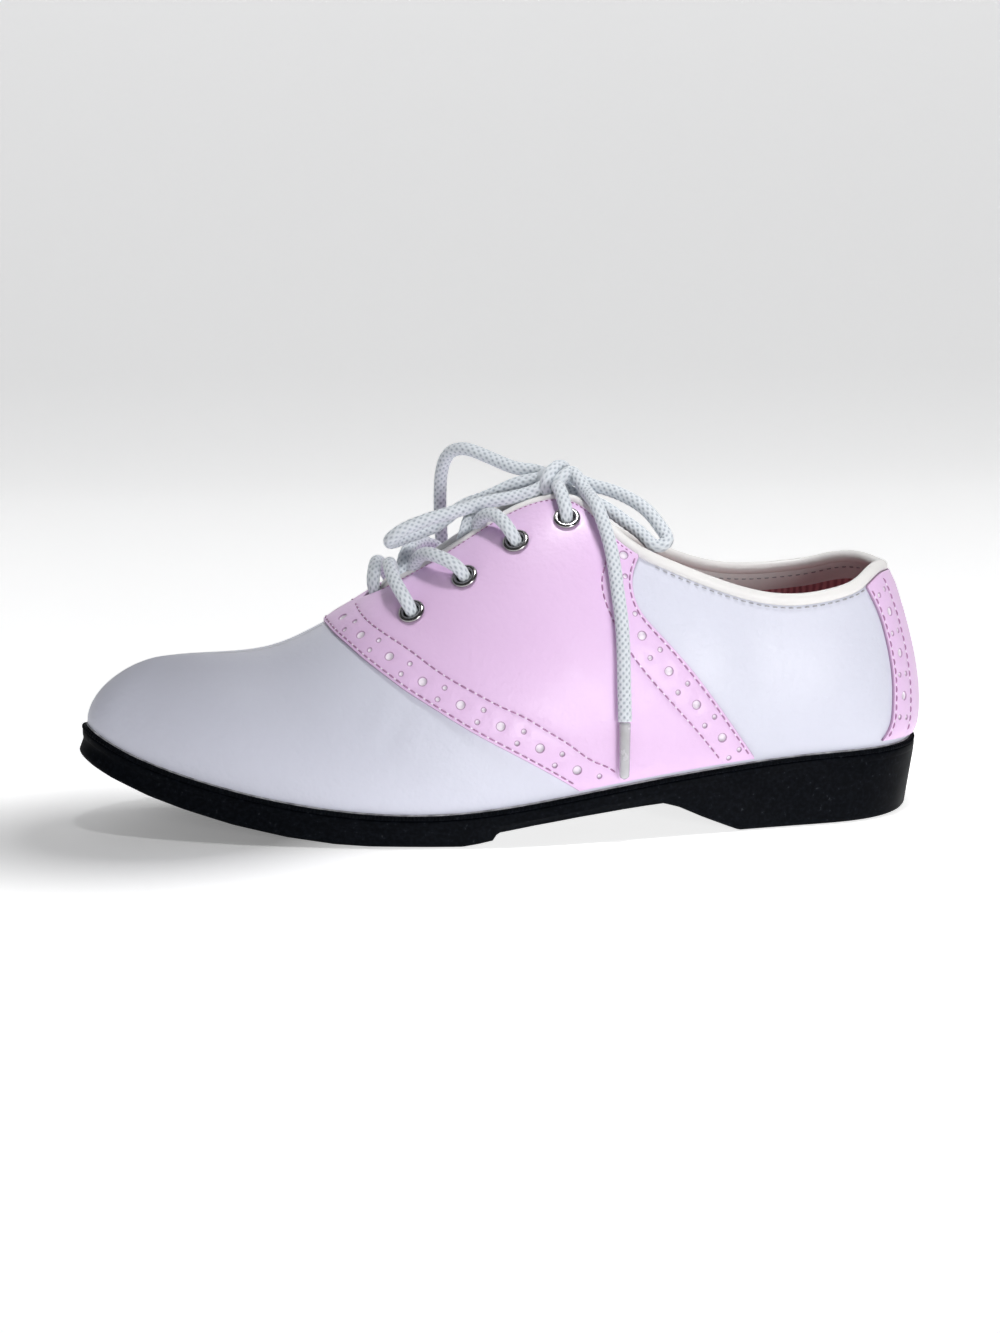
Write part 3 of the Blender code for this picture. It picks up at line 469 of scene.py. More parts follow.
# Lacing runs on and under the skin (along, section angle, height over the skin, cord radius) of the lateral
# half, and free runs over the throat (along, across, height, cord radius)
FROM_KNOT = (
    (148.2, 74.0, 5.7, 2.1), (148.4, 70.0, 5.2, 2.1), (148.5, 66.6, 3.8, 2.0), (148.5, 65.2, 1.0, 1.9),
    (148.2, 65.0, -2.0, 1.85), (145.5, 64.8, -3.8, 1.75), (140.5, 64.5, -3.9, 1.75),
    (135.8, 64.2, -3.8, 1.75), (133.2, 64.0, -2.0, 1.85), (132.8, 64.0, 1.0, 1.9), (132.4, 65.4, 3.9, 2.0),
)
UP_SECOND = ((116.9, 62.2, -1.4, 1.85), (116.9, 62.2, 1.2, 1.9), (116.5, 63.6, 3.9, 2.0))
UP_FIRST = ((100.4, 60.0, -1.4, 1.85), (100.4, 60.0, 1.2, 1.9), (100.2, 61.6, 3.9, 2.0))
TO_SECOND = ((118.2, 77.0, -3.8, 1.8), (117.6, 70.0, -3.9, 1.75), (117.2, 64.5, -3.4, 1.75))
TO_FIRST = ((100.8, 77.0, -3.8, 1.8), (100.8, 70.0, -3.9, 1.75), (100.7, 63.5, -3.4, 1.75))
NEAR_THIRD = (
    (128.4, -18.9, 96.0, 2.1), (126.2, -14.6, 97.4, 2.1), (124.2, -10.2, 96.3, 2.1), (123.3, -6.2, 93.9, 2.1),
    (123.0, -3.0, 90.4, 2.0), (122.3, 0.6, 87.2, 1.95), (121.0, 4.4, 85.0, 1.9),
)
FAR_THIRD = (
    (129.0, 15.8, 95.8, 2.1), (126.6, 13.4, 97.0, 2.1), (124.4, 9.4, 96.6, 2.1), (122.6, 5.2, 94.6, 2.1),
    (120.9, 1.6, 92.4, 2.1), (119.4, -1.6, 89.4, 2.05), (118.4, -4.4, 86.0, 1.95),
)
NEAR_SECOND = (
    (109.6, -18.8, 84.9, 2.1), (106.0, -13.4, 85.6, 2.1), (104.2, -8.6, 84.0, 2.1), (103.2, -5.0, 81.4, 2.1),
    (102.8, -2.0, 78.2, 2.0), (102.2, 1.6, 75.2, 1.9),
)
FAR_SECOND = (
    (109.8, 16.2, 84.9, 2.1), (105.4, 11.0, 85.2, 2.1), (102.8, 7.0, 84.2, 2.1), (101.0, 3.6, 81.8, 2.1),
    (100.2, 0.6, 78.6, 2.05), (99.8, -2.2, 75.6, 1.95),
)
NEAR_FIRST = (
    (95.8, -18.8, 76.9, 2.1), (94.6, -13.8, 80.3, 2.1), (94.8, -8.4, 81.9, 2.1), (95.8, -4.0, 80.9, 2.1),
    (97.0, -1.0, 78.2, 2.0), (97.8, 1.4, 74.8, 1.9), (98.4, 4.2, 71.8, 1.75),
)
FAR_FIRST = (
    (96.2, 18.6, 76.9, 2.1), (94.2, 13.6, 79.6, 2.1), (92.6, 8.0, 80.0, 2.1), (91.4, 3.4, 77.8, 2.1),
    (90.8, 0.4, 74.6, 2.0), (91.4, -0.8, 71.0, 1.8),
)

# Camera in degrees and millimetres; lights in metres and watts, with their place and aim
CAMERA_AZIMUTH = -9.8
CAMERA_ELEVATION = 10.5
CAMERA_DISTANCE = 760.0
CAMERA_TARGET = (131.0, 0.0, 47.0)
FRAME_WIDTH = 318.0
SENSOR = 36.0
KEY_LIGHT = ("AREA", "key", (0.5, -1.66, 0.17), (0.0, 0.0, 0.05), 15.4, {"shape": "DISK", "size": 0.7})
POOL_LIGHT = ("SPOT", "pool", (0.06, -0.1, 1.0), (0.058, 0.0, 0.09), 36.0,
              {"spot_size": math.radians(20.0), "spot_blend": 1.0, "shadow_soft_size": 0.12})
ROOM_COLOUR = (0.95, 0.97, 1.0, 1.0)
ROOM_STRENGTH = 0.07

# Floor in metres: half its width, its front edge, where the bend up behind the shoe starts, the bend, its top
FLOOR_HALF_WIDTH = 3.0
FLOOR_FRONT = -2.5
FLOOR_BEND_START = 0.9
FLOOR_BEND = 0.7
FLOOR_TOP = 3.0
FLOOR_DROP = 0.0003


def row_frame(points):
    """Points of the tables' frame in metres of the row frame."""
    return (np.asarray(points, float) - (MIDDLE_ALONG, MIDDLE_ACROSS, 0.0)) * MM


def grid_faces(rows, columns, wrap_rows=False, wrap_columns=False):
    """Quads of a grid of points that is stored row by row."""
    low = np.arange(rows if wrap_rows else rows - 1)[:, None]
    left = np.arange(columns if wrap_columns else columns - 1)[None, :]
    high, right = (low + 1) % rows, (left + 1) % columns
    corners = (low * columns + left, low * columns + right, high * columns + right, high * columns + left)
    return np.stack(corners, -1).reshape(-1, 4).tolist()


def bar_faces(rings, around):
    """Faces of a closed bar of rings with both ends capped."""
    last = (rings - 1) * around
    ends = [list(range(around)), list(range(last, last + around))]
    return grid_faces(rings, around, wrap_columns=True) + ends


class Shell:
    """Points and faces of one piece, gathered from its parts."""

    def __init__(self):
        self.points, self.faces, self.slots, self.count = [], [], [], 0

    def add(self, points, faces, slot=0):
        points = np.asarray(points, float).reshape(-1, 3)
        self.points.append(points)
        self.faces += [[self.count + i for i in face] for face in faces]
        self.slots += [slot] * len(faces)
        self.count += len(points)

    def grid(self, points, slot=0, wrap_rows=False, wrap_columns=False):
        rows, columns = points.shape[:2]
        self.add(points, grid_faces(rows, columns, wrap_rows, wrap_columns), slot)

    def slab(self, top, under):
        """A sheet from its two faces, with its four sides."""
        self.grid(top)
        self.grid(under)
        for k in (0, -1):
            self.grid(np.stack([top[k], under[k]]))
            self.grid(np.stack([top[:, k], under[:, k]]))

    def piece(self, name, looks, record_slot, *nodes, sharp=None):
        """The finished piece, which rides on the shoe and stands for the CAD nodes named."""
        mesh = bpy.data.meshes.new(name)
        mesh.from_pydata(row_frame(np.concatenate(self.points)).tolist(), [], self.faces)
        for look in looks:
            mesh.materials.append(look)
        mesh.polygons.foreach_set("material_index", self.slots)
        shape = bmesh.new()
        shape.from_mesh(mesh)
        bmesh.ops.remove_doubles(shape, verts=shape.verts, dist=2e-6)
        bmesh.ops.dissolve_degenerate(shape, edges=shape.edges, dist=1e-7)
        bmesh.ops.recalc_face_normals(shape, faces=shape.faces)
        shape.to_mesh(mesh)
        shape.free()
        mesh.shade_smooth()
        if sharp is not None:
            mesh.set_sharp_from_angle(angle=math.radians(sharp))
        made = bpy.data.objects.new(name, mesh)
        bpy.context.scene.collection.objects.link(made)
        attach(made, "root")
        if nodes:
            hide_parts(*nodes)
        return made


class Look:
    """A material and short ways to add nodes to it."""

    def __init__(self, name, colour, roughness, **inputs):
        self.material = bpy.data.materials.new(name)
        self.material.use_nodes = True
        self.tree = self.material.node_tree
        self.shader = self.tree.nodes["Principled BSDF"]
        self.place = self.node("TexCoord").outputs["Object"]
        self.feed(self.shader, {"Base Color": (*colour, 1.0), "Roughness": roughness, **inputs})
        self.material.diffuse_color = (*colour, 1.0)

    def feed(self, node, inputs):
        for name, value in inputs.items():
            socket = node.inputs[name.replace("_", " ")]
            if isinstance(value, bpy.types.NodeSocket):
                self.tree.links.new(value, socket)
            else:
                socket.default_value = value

    def node(self, kind, settings=None, **inputs):
        made = self.tree.nodes.new("ShaderNode" + kind)
        for name, value in (settings or {}).items():
            setattr(made, name, value)
        self.feed(made, inputs)
        return made

    def noise(self, scale, detail=2.0):
        return self.node("TexNoise", Vector=self.place, Scale=scale, Detail=detail).outputs["Fac"]

    def ramp(self, factor, *stops):
        made = self.node("ValToRGB", Fac=factor)
        points = made.color_ramp.elements
        while len(points) < len(stops):
            points.new(0.5)
        for point, (position, colour) in zip(points, stops):
            point.position = position
            point.color = (*colour, 1.0)
        return made.outputs["Color"]

    def levels(self, factor, low, high):
        return self.node("MapRange", Value=factor, From_Min=0.3, From_Max=0.7, To_Min=low,
                         To_Max=high).outputs["Result"]

    def bump(self, height, distance, strength=1.0, under=None):
        made = self.node("Bump", Height=height, Distance=distance * MM, Strength=strength)
        if under is not None:
            self.feed(made, {"Normal": under})
        return made.outputs["Normal"]


def leather(name, light, shade, roughness):
    """Smooth finished leather: fine pebble grain, pores, soft cloudiness and a thin finish coat."""
    look = Look(name, light, 0.4, Coat_Weight=0.2, Coat_Roughness=0.25, Specular_IOR_Level=0.38)
    cells = look.node("TexVoronoi", {"feature": "SMOOTH_F1"}, Vector=look.place, Scale=900.0)
    grain = look.bump(cells.outputs["Distance"], 0.09, 0.7)
    grain = look.bump(look.noise(420.0, 4.0), 0.3, 0.75, grain)
    grain = look.bump(look.noise(70.0, 2.0), 0.5, 0.22, grain)
    tone = look.ramp(look.noise(26.0, 4.0), (0.35, light), (0.72, shade))
    sheen = look.levels(look.noise(160.0, 3.0), roughness - 0.05, roughness + 0.07)
    look.feed(look.shader, {"Base Color": tone, "Normal": grain, "Roughness": sheen})
    return look.material


def fabric(name, light, shade, scale):
    """Woven cloth with fine ribs; its colour is darker down between the ribs, painted shade."""
    look = Look(name, light, 0.85, Sheen_Weight=0.25, Sheen_Roughness=0.5)
    ribs = look.node("TexWave", {"wave_type": "BANDS", "bands_direction": "X"}, Vector=look.place,
                     Scale=scale, Distortion=1.2, Detail=1.0).outputs["Fac"]
    rows = look.node("TexWave", {"wave_type": "BANDS", "bands_direction": "Z"}, Vector=look.place,
                     Scale=scale * 1.6, Distortion=0.8).outputs["Fac"]
    weave = look.bump(rows, 0.15, 0.4, look.bump(ribs, 0.3, 0.7))
    # Painted shade: the darker colour follows the low parts of the ribs' bump.
    tone = look.ramp(ribs, (0.1, shade), (0.8, light))
    look.feed(look.shader, {"Base Color": tone, "Normal": weave})
    return look.material


def thread(name, light, shade):
    look = Look(name, light, 0.6, Sheen_Weight=0.2)
    tone = look.ramp(look.noise(900.0), (0.35, shade), (0.65, light))
    look.feed(look.shader, {"Base Color": tone, "Normal": look.bump(look.noise(2600.0), 0.06, 0.5)})
    return look.material


def lace_look(name, light, shade):
    """Braided cord, with painted shade: its colour turns greyer down in the hollows between its strands."""
    look = Look(name, light, 0.75, Sheen_Weight=0.3, Sheen_Roughness=0.4)
    height = look.node("NewGeometry").outputs["Pointiness"]
    # Painted shade: the darker colour goes where Pointiness finds the surface hollow.
    tone = look.ramp(height, (0.44, shade), (0.54, light))
    look.feed(look.shader, {"Base Color": tone, "Normal": look.bump(look.noise(2400.0, 3.0), 0.08, 0.5)})
    return look.material


def rubber(name):
    look = Look(name, (0.002, 0.0027, 0.0045), 0.6, Specular_IOR_Level=0.04)
    grain = look.bump(look.noise(1400.0, 2.0), 0.05, 0.35)
    grain = look.bump(look.noise(150.0, 3.0), 0.12, 0.25, grain)
    tone = look.ramp(look.noise(800.0, 3.0), (0.42, (0.001, 0.0016, 0.0028)), (0.68, (0.0034, 0.0045, 0.007)),
                     (0.8, (0.03, 0.032, 0.036)))
    look.feed(look.shader, {"Base Color": tone, "Normal": grain,
                            "Roughness": look.levels(look.noise(60.0, 4.0), 0.5, 0.68)})
    return look.material


def metal(name):
    look = Look(name, (0.36, 0.35, 0.35), 0.2, Metallic=1.0)
    look.feed(look.shader, {"Roughness": look.levels(look.noise(700.0, 3.0), 0.14, 0.26),
                            "Normal": look.bump(look.noise(900.0, 2.0), 0.02, 0.4)})
    return look.material


def plastic(name):
    look = Look(name, (0.6, 0.6, 0.62), 0.2, Coat_Weight=0.8, Coat_Roughness=0.06, Transmission_Weight=0.1)
    tone = look.ramp(look.noise(160.0, 2.0), (0.3, (0.62, 0.62, 0.65)), (0.75, (0.48, 0.475, 0.49)))
    look.feed(look.shader, {"Base Color": tone, "Roughness": look.levels(look.noise(300.0), 0.15, 0.3)})
    return look.material


def glue(name):
    look = Look(name, (0.5, 0.5, 0.53), 0.55)
    tone = look.ramp(look.noise(300.0, 4.0), (0.3, (0.55, 0.55, 0.58)), (0.7, (0.16, 0.16, 0.18)))
    look.feed(look.shader, {"Base Color": tone, "Normal": look.bump(look.noise(900.0), 0.1, 0.5)})
    return look.material


WHITE = leather("white_leather", (0.70, 0.71, 0.815), (0.675, 0.685, 0.785), 0.42)
PINK = leather("pink_leather", (0.83, 0.59, 0.86), (0.80, 0.555, 0.825), 0.42)
PALE = leather("pale_punching", (0.93, 0.85, 0.94), (0.87, 0.78, 0.89), 0.5)
# Dark mauve for the panels' cut sides and hole walls: partly the cut edge's own colour, partly painted shade at
# the edges and in the holes.
CUT_EDGE_AND_SHADE = leather("cut_edge_and_painted_shade", (0.52, 0.34, 0.52), (0.44, 0.27, 0.44), 0.6)
TRIM = leather("white_trim", (0.86, 0.845, 0.83), (0.80, 0.785, 0.775), 0.45)
LINING = fabric("rose_lining", (0.66, 0.3, 0.34), (0.44, 0.17, 0.2), 150.0)
FOOTBED = fabric("rose_footbed", (0.44, 0.18, 0.2), (0.32, 0.12, 0.14), 90.0)
MAUVE_THREAD = thread("mauve_thread", (0.46, 0.235, 0.42), (0.34, 0.16, 0.31))
GREY_THREAD = thread("grey_thread", (0.46, 0.46, 0.49), (0.32, 0.32, 0.35))
PINK_THREAD = thread("pink_thread", (0.56, 0.28, 0.5), (0.44, 0.2, 0.4))
# The lace's second, darker colour is painted shade for the hollows of its braid.
LACE = lace_look("lace_cord", (0.77, 0.81, 0.85), (0.30, 0.34, 0.40))
RUBBER = rubber("black_rubber")
NICKEL = metal("nickel")
AGLET = plastic("cloudy_plastic")
GLUE = glue("dried_glue")


def set_camera():
    azimuth, elevation = math.radians(CAMERA_AZIMUTH), math.radians(CAMERA_ELEVATION)
    back = Vector((math.sin(azimuth) * math.cos(elevation), -math.cos(azimuth) * math.cos(elevation),
                   math.sin(elevation)))
    target = Vector(row_frame(CAMERA_TARGET))
    data = bpy.data.cameras.new("camera")
    data.sensor_fit = "HORIZONTAL"
    data.sensor_width = SENSOR
    data.lens = SENSOR * CAMERA_DISTANCE / FRAME_WIDTH
    data.clip_start = 0.05
    data.clip_end = 20.0
    made = bpy.data.objects.new("camera", data)
    made.location = target + back * CAMERA_DISTANCE * MM
    made.rotation_euler = back.to_track_quat("Z", "Y").to_euler()
    bpy.context.scene.collection.objects.link(made)
    bpy.context.scene.camera = made


def smooth_route(points, spacing):
    """Points at an even spacing along the smooth curve through a route's points, and any further columns."""
    points = np.asarray(points, float)
    length = arc_along(points[:, :3])
    curves = [smooth_table(length, points[:, k]) for k in range(points.shape[1])]
    fine = np.linspace(0.0, length[-1], 40 * len(points))
    dense = np.stack([curve(fine) for curve in curves], -1)
    arc = arc_along(dense[:, :3])
    even = np.linspace(0.0, arc[-1], max(3, int(round(arc[-1] / spacing)) + 1))
    return resample(even, arc, dense)


def tube_frames(path):
    """Two directions across a path, turned as little as possible from point to point."""
    tangents = unit(np.gradient(path, axis=0))
    start = np.array([0.0, 0.0, 1.0]) if abs(tangents[0, 2]) < 0.8 else np.array([0.0, 1.0, 0.0])
    sides = np.empty_like(path)
    side = start
    for i, tangent in enumerate(tangents):
        side = side - tangent * (side @ tangent)
        side = side / np.linalg.norm(side)
        sides[i] = side
    return sides, np.cross(tangents, sides)


def tube(shell, path, radii, around, relief=None):
    """A round bar along a path, with a relief of its own over the radius."""
    sides, others = tube_frames(path)
    phi = full_turn(around)
    reach = np.broadcast_to(np.asarray(radii, float)[..., None], (len(path), around))
    if relief is not None:
        reach = reach + relief(phi)
    rings = path[:, None] + reach[..., None] * (np.cos(phi)[:, None] * sides[:, None]
                                               + np.sin(phi)[:, None] * others[:, None])
    shell.add(rings, bar_faces(len(path), around))


def braided(shell, path, radii):
    """Round braided cord: two sets of strands that wind round it in opposite ways."""
    arc = arc_along(path)
    turn = 2.0 * math.pi * arc[:, None] / BRAID_PERIOD

    def strands(phi):
        wound = [np.cos(BRAID_STRANDS * phi + way * turn) for way in (1.0, -1.0)]
        return BRAID_RELIEF * (np.maximum(*wound) - 0.45)

    tube(shell, path, radii - BRAID_INSET, 6 * BRAID_STRANDS, strands)


def skin_route(route):
    """Points of a route over the skin, with its further columns."""
    return [(*over_skin(*row[:3]), *row[3:]) for row in route]


def arc_length(path):
    return float(np.linalg.norm(np.diff(path, axis=0), axis=1).sum())


def make_cord(name, route):
    """A run of the bow, from inside the knot."""
    path = smooth_route(route, BRAID_STEP)
    shell = Shell()
    braided(shell, path, np.full(len(path), LACE_RADIUS))
    made = shell.piece(name + "_cord", [LACE], "lace", name)
    [tuple(point) for point in row_frame(smooth_route(route, CORD_STEP))]


def make_aglet(name, route):
    """Clear wrapped tip: slightly tapered, with a rounded nose and a fine overlap seam."""
    path = smooth_route(skin_route(route), 0.4)
    share = np.linspace(0.0, 1.0, len(path))
    nose = ((share - AGLET_NOSE) / 0.075).clip(0.0)
    radii = AGLET_RADIUS * (1.0 - AGLET_TAPER * share) * np.sqrt(np.clip(1.0 - nose ** 2, 0.04, 1))
    radii[:3] *= (0.9, 1.0, 1.03)

    def seam(phi):
        return 0.09 * np.exp(-((phi - 1.6) / 0.25) ** 2)[None, :] * np.ones((len(path), 1))

    shell = Shell()
    tube(shell, path, radii, 28, seam)
    return shell.piece(name + "_tip", [AGLET], "aglet", name)


def make_knot():
    """Core of the knot with one turn of the cord wrapped round it."""
    shell = Shell()
    lat = np.linspace(0.0, math.pi, 40)[:, None]
    lon = full_turn(56)[None, :]
    ball = np.stack([np.cos(lat) * np.ones_like(lon), np.sin(lat) * np.cos(lon),
                     np.sin(lat) * np.sin(lon)], -1)
    shell.grid(np.array(KNOT_CENTRE) + ball * np.array(KNOT_RADII) * KNOT_CORE, wrap_columns=True)
    path = smooth_route(KNOT_WRAP * 3, BRAID_STEP)
    third = len(path) // 3
    braided(shell, path[third - 4:2 * third + 4], np.full(third + 8, LACE_RADIUS))
    return shell.piece("lace_knot_tied", [LACE], "lace", "lace_knot")


def mirror(route):
    return [(along, 180.0 - angle, *rest) for along, angle, *rest in route]


def make_lacing():
    """Both halves of the lace, each from the knot through four eyelets to the toe end of the throat."""
    halves = (
        ("lacing_lateral", LATERAL_RISER_INNER, FROM_KNOT, NEAR_THIRD, mirror(TO_SECOND + UP_SECOND),
         FAR_SECOND, TO_FIRST + UP_FIRST, NEAR_FIRST, ("lace_riser_lateral", "lace_bar", "lace_crossing_2")),
        ("lacing_medial", MEDIAL_RISER_INNER, mirror(FROM_KNOT), FAR_THIRD, TO_SECOND + UP_SECOND,
         NEAR_SECOND, mirror(TO_FIRST + UP_FIRST), FAR_FIRST, ("lace_riser_medial", "lace_crossing_1")),
    )
    for name, top, down, third, second, over, first, last, nodes in halves:
        route = [*top, *skin_route(down), *third, *skin_route(second), *over, *skin_route(first), *last]
        path = smooth_route(route, BRAID_STEP)
        shell = Shell()
        braided(shell, path[:, :3], path[:, 3])
        shell.piece(name, [LACE], "lace", *nodes)


def crease_lift(turn, angle):
    """Height of the listed creases over the smooth skin."""
    crown = ring(turn)[..., RIB_COLUMNS.index("crown")]
    lift = np.zeros(np.broadcast(crown, angle).shape)
    for from_along, from_angle, to_along, to_angle, width, height in CREASES:
        a = np.array([from_along, from_angle * DEGREE_MM])
        b = np.array([to_along, to_angle * DEGREE_MM])
        here = np.stack(np.broadcast_arrays(crown, angle * DEGREE_MM), -1)
        share = np.clip(((here - a) @ (b - a)) / ((b - a) @ (b - a)), 0.0, 1.0)
        gap = np.linalg.norm(here - (a + share[..., None] * (b - a)), axis=-1)
        lift = lift + height * np.exp(-(gap / width) ** 2) * (0.35 + 0.65 * np.sin(math.pi * share))
    return lift


def wall_columns():
    toe, heel = column_range("crown")
    fore = toe + (THROAT_START - toe) * (1.0 - np.cos(np.linspace(0.0, math.pi / 2, 64)))
    throat = np.linspace(THROAT_START, CORNER_END, 84)
    rear = CORNER_END + (heel - CORNER_END) * np.sin(np.linspace(0.0, math.pi / 2, 60))
    return np.concatenate([fore[:-1], throat[:-1], rear])


def angles_from_top(turn, top, depths):
    """Section angles of the inner face at distances down from the wall's top edge."""
    fine = np.linspace(top, 0.0, 120)
    arc = arc_along(lifted(turn, fine, -WALL))
    rest = np.linspace(depths[-1], arc[-1], 26)[1:]
    return np.interp(np.concatenate([depths, rest]), arc, fine)


def round_ridge(lateral, medial, widest):
    """Carries a section's outer face over the vamp's ridge in one soft curve, in place."""
    column = np.concatenate([lateral, medial[-2::-1]])
    arc = arc_along(column)
    ridge = arc[len(lateral) - 1]
    reach = min(widest, 0.4 * ridge)
    ends = ridge + np.array([-reach, reach])
    near = np.abs(arc - ridge) < reach
    t = (arc[near] - ends[0]) / (2.0 * reach)
    for k in range(3):
        start, stop = np.interp(ends, arc, column[:, k])
        leave, arrive = 2.0 * reach * np.interp(ends, arc, np.gradient(column[:, k], arc))
        column[near, k] = ((1.0 + 2.0 * t) * (1.0 - t) ** 2 * start + t * (1.0 - t) ** 2 * leave
                           + t * t * (3.0 - 2.0 * t) * stop + t * t * (t - 1.0) * arrive)
    lateral[:] = column[:len(lateral)]
    medial[:] = column[:len(lateral) - 2:-1]


def make_upper():
    """White wall of the upper: outer leather, folded top, white lining band and rose lining."""
    crowns = wall_columns()
    depths = np.array(BAND_DEPTHS)
    share = np.linspace(0.0, 1.0, 46)
    outer, inner = [], []
    for side, places in ((LATERAL, crowns[::-1]), (MEDIAL, crowns[1:-1])):
        turns = turn_at(side, "crown", places)
        for turn, top in zip(turns, top_angle(side, places)):
            angles = share * top
            outer.append(lifted(turn, angles, crease_lift(turn, angles)))
            inner.append(lifted(turn, angles_from_top(turn, float(top), depths), -WALL))
    outer, inner = np.array(outer), np.array(inner)
    for k in np.flatnonzero((crowns > RIDGE_FROM) & (crowns < THROAT_START)):
        widest = RIDGE_ROUND * min(1.0, (crowns[k] - RIDGE_FROM) / RIDGE_GROWTH)
        round_ridge(outer[len(crowns) - 1 - k], outer[len(crowns) - 1 + k], widest)
    shell = Shell()
    shell.grid(outer, 0, wrap_rows=True)
    band = len(depths)
    shell.grid(inner[:, :band], 1, wrap_rows=True)
    shell.grid(inner[:, band - 1:], 2, wrap_rows=True)
    shell.grid(np.stack([outer[:, -1], inner[:, 0]], 1), 1, wrap_rows=True)
    shell.grid(np.stack([outer[:, 0], inner[:, -1]], 1), 0, wrap_rows=True)
    made = shell.piece("upper_wall", [WHITE, TRIM, LINING], "white_leather", "upper", sharp=50.0)
    punch(made)


def eyelet_frame(side, along, angle):
    """Matrix whose Z leaves the saddle's outer face at an eyelet."""
    turn = turn_at(side, "crown", along)
    normal = Vector(outward(turn, angle))
    place = Vector(row_frame(lifted(turn, angle, PANEL_TOP)))
    return Matrix.Translation(place) @ normal.to_track_quat("Z", "Y").to_matrix().to_4x4()


def punch(made):
    """Cuts the eyelet holes through a piece."""
    shape = bmesh.new()
    for side in (LATERAL, MEDIAL):
        for along, angle in EYELETS:
            place = eyelet_frame(side, along, angle) @ Matrix.Translation((0.0, 0.0, -1.5 * MM))
            bmesh.ops.create_cone(shape, cap_ends=True, segments=28, radius1=EYELET_HOLE_RADIUS * MM,
                                  radius2=EYELET_HOLE_RADIUS * MM, depth=8.0 * MM, matrix=place)
    data = bpy.data.meshes.new("punch")
    shape.to_mesh(data)
    shape.free()
    cutter = bpy.data.objects.new("punch", data)
    bpy.context.scene.collection.objects.link(cutter)
    cut = made.modifiers.new("holes", "BOOLEAN")
    cut.operation = "DIFFERENCE"
    cut.solver = "EXACT"
    cut.object = cutter
    depsgraph = bpy.context.evaluated_depsgraph_get()
    mesh = bpy.data.meshes.new_from_object(made.evaluated_get(depsgraph))
    made.modifiers.clear()
    made.data = mesh
    bpy.data.objects.remove(cutter)


def saddle_place(u, v):
    """Turn and section angle of a place on the saddle; v past 90 counts down the medial side."""
    near = v <= 90.0
    turn = np.where(near, turn_at(LATERAL, "crown", u), turn_at(MEDIAL, "crown", u))
    return turn, np.maximum(np.where(near, v, 180.0 - v), 0.05)


def counter_place(u, v):
    """Turn and section angle of a place on the counter, u round the feather line, lateral negative."""
    reach = np.where(u < 0.0, -u, SCAN_ARC[-1] - u)
    return np.interp(reach, SCAN_ARC, SCAN), np.maximum(v, 0.05)


def off_the_seam(flat):
    """Flat places moved off the feather line, where the skin's directions can't be read."""
    return np.stack([flat[..., 0], np.clip(flat[..., 1], 0.7, 179.3)], -1)


class Panel:
    """A leather overlay laid out flat: u along it and v up its sections."""

    def __init__(self, place):
        self.place = place
        self.edge = None

    def set_edge(self, outline):
        points = self.point(outline, PANEL_TOP)
        self.edge = kdtree.KDTree(len(points))
        for k, point in enumerate(points):
            self.edge.insert(point, k)
        self.edge.balance()

    def top(self, flat):
        """Height of the outer face, which is skived thin toward the edge."""
        gaps = np.array([self.edge.find(point)[2] for point in self.point(flat, PANEL_TOP)])
        return PANEL_TOP - SKIVE_DEPTH * (1.0 - np.minimum(gaps, SKIVE_WIDTH) / SKIVE_WIDTH) ** 2

    def point(self, flat, lift):
        turn, angle = self.place(flat[..., 0], flat[..., 1])
        return lifted(turn, angle, np.broadcast_to(lift, turn.shape))

    def normal(self, flat):
        return outward(*self.place(flat[..., 0], flat[..., 1]))

    def shift(self, flat, along, across):
        """Flat places moved by millimetres along two directions of the skin."""
        start, flat = flat, off_the_seam(flat)
        du, dv = np.array([0.3, 0.0]), np.array([0.0, 0.3])
        base = np.stack([(self.point(flat + du, PANEL_TOP) - self.point(flat - du, PANEL_TOP)) / 0.6,
                         (self.point(flat + dv, PANEL_TOP) - self.point(flat - dv, PANEL_TOP)) / 0.6], -1)
        first = unit(base[..., 0])
        second = np.cross(self.normal(flat), first)
        move = np.asarray(along)[..., None] * first + np.asarray(across)[..., None] * second
        metric = np.einsum("...ki,...kj->...ij", base, base)
        pull = np.einsum("...ki,...k->...i", base, move)
        return start + np.linalg.solve(metric, pull[..., None])[..., 0]

    def aside(self, line, distance, closed=False):
        """A flat line moved sideways over the skin, to the left of its run seen from outside."""
        start, line = line, off_the_seam(line)
        ahead = np.roll(line, -1, 0) - np.roll(line, 1, 0)
        if not closed:
            ahead[0], ahead[-1] = line[1] - line[0], line[-1] - line[-2]
        ahead = unit(ahead) * 0.2
        here = self.point(line, PANEL_TOP)
        run = unit(self.point(line + ahead, PANEL_TOP) - self.point(line - ahead, PANEL_TOP))
        left = np.cross(self.normal(line), run)
        du = np.array([0.3, 0.0])
        first = unit(self.point(line + du, PANEL_TOP) - here)
        second = np.cross(self.normal(line), first)
        reach = np.broadcast_to(distance, len(line))
        return self.shift(start, reach * (left * first).sum(-1), reach * (left * second).sum(-1))

    def even(self, line, spacing, count=None):
        """Flat line with points at an even spacing over the skin."""
        share = np.linspace(0.0, len(line) - 1.0, 12 * len(line))
        dense = resample(share, np.arange(len(line)), line)
        points = self.point(dense, PANEL_TOP)
        arc = arc_along(points)
        count = count or max(2, int(round(arc[-1] / spacing)) + 1)
        wanted = np.linspace(0.0, arc[-1], count)
        return resample(wanted, arc, dense)

    def length(self, line):
        return arc_length(self.point(self.even(line, 0.5), PANEL_TOP))

    def at(self, line, distance):
        """Flat place at a distance along a line."""
        fine = self.even(line, 0.25)
        points = self.point(fine, PANEL_TOP)
        arc = arc_along(points)
        return resample(distance, arc, fine)

    def circle(self, centre, radius, count):
        phi = full_turn(count)
        centres = np.broadcast_to(centre, (count, 2))
        return self.shift(centres, radius * np.cos(phi), radius * np.sin(phi))


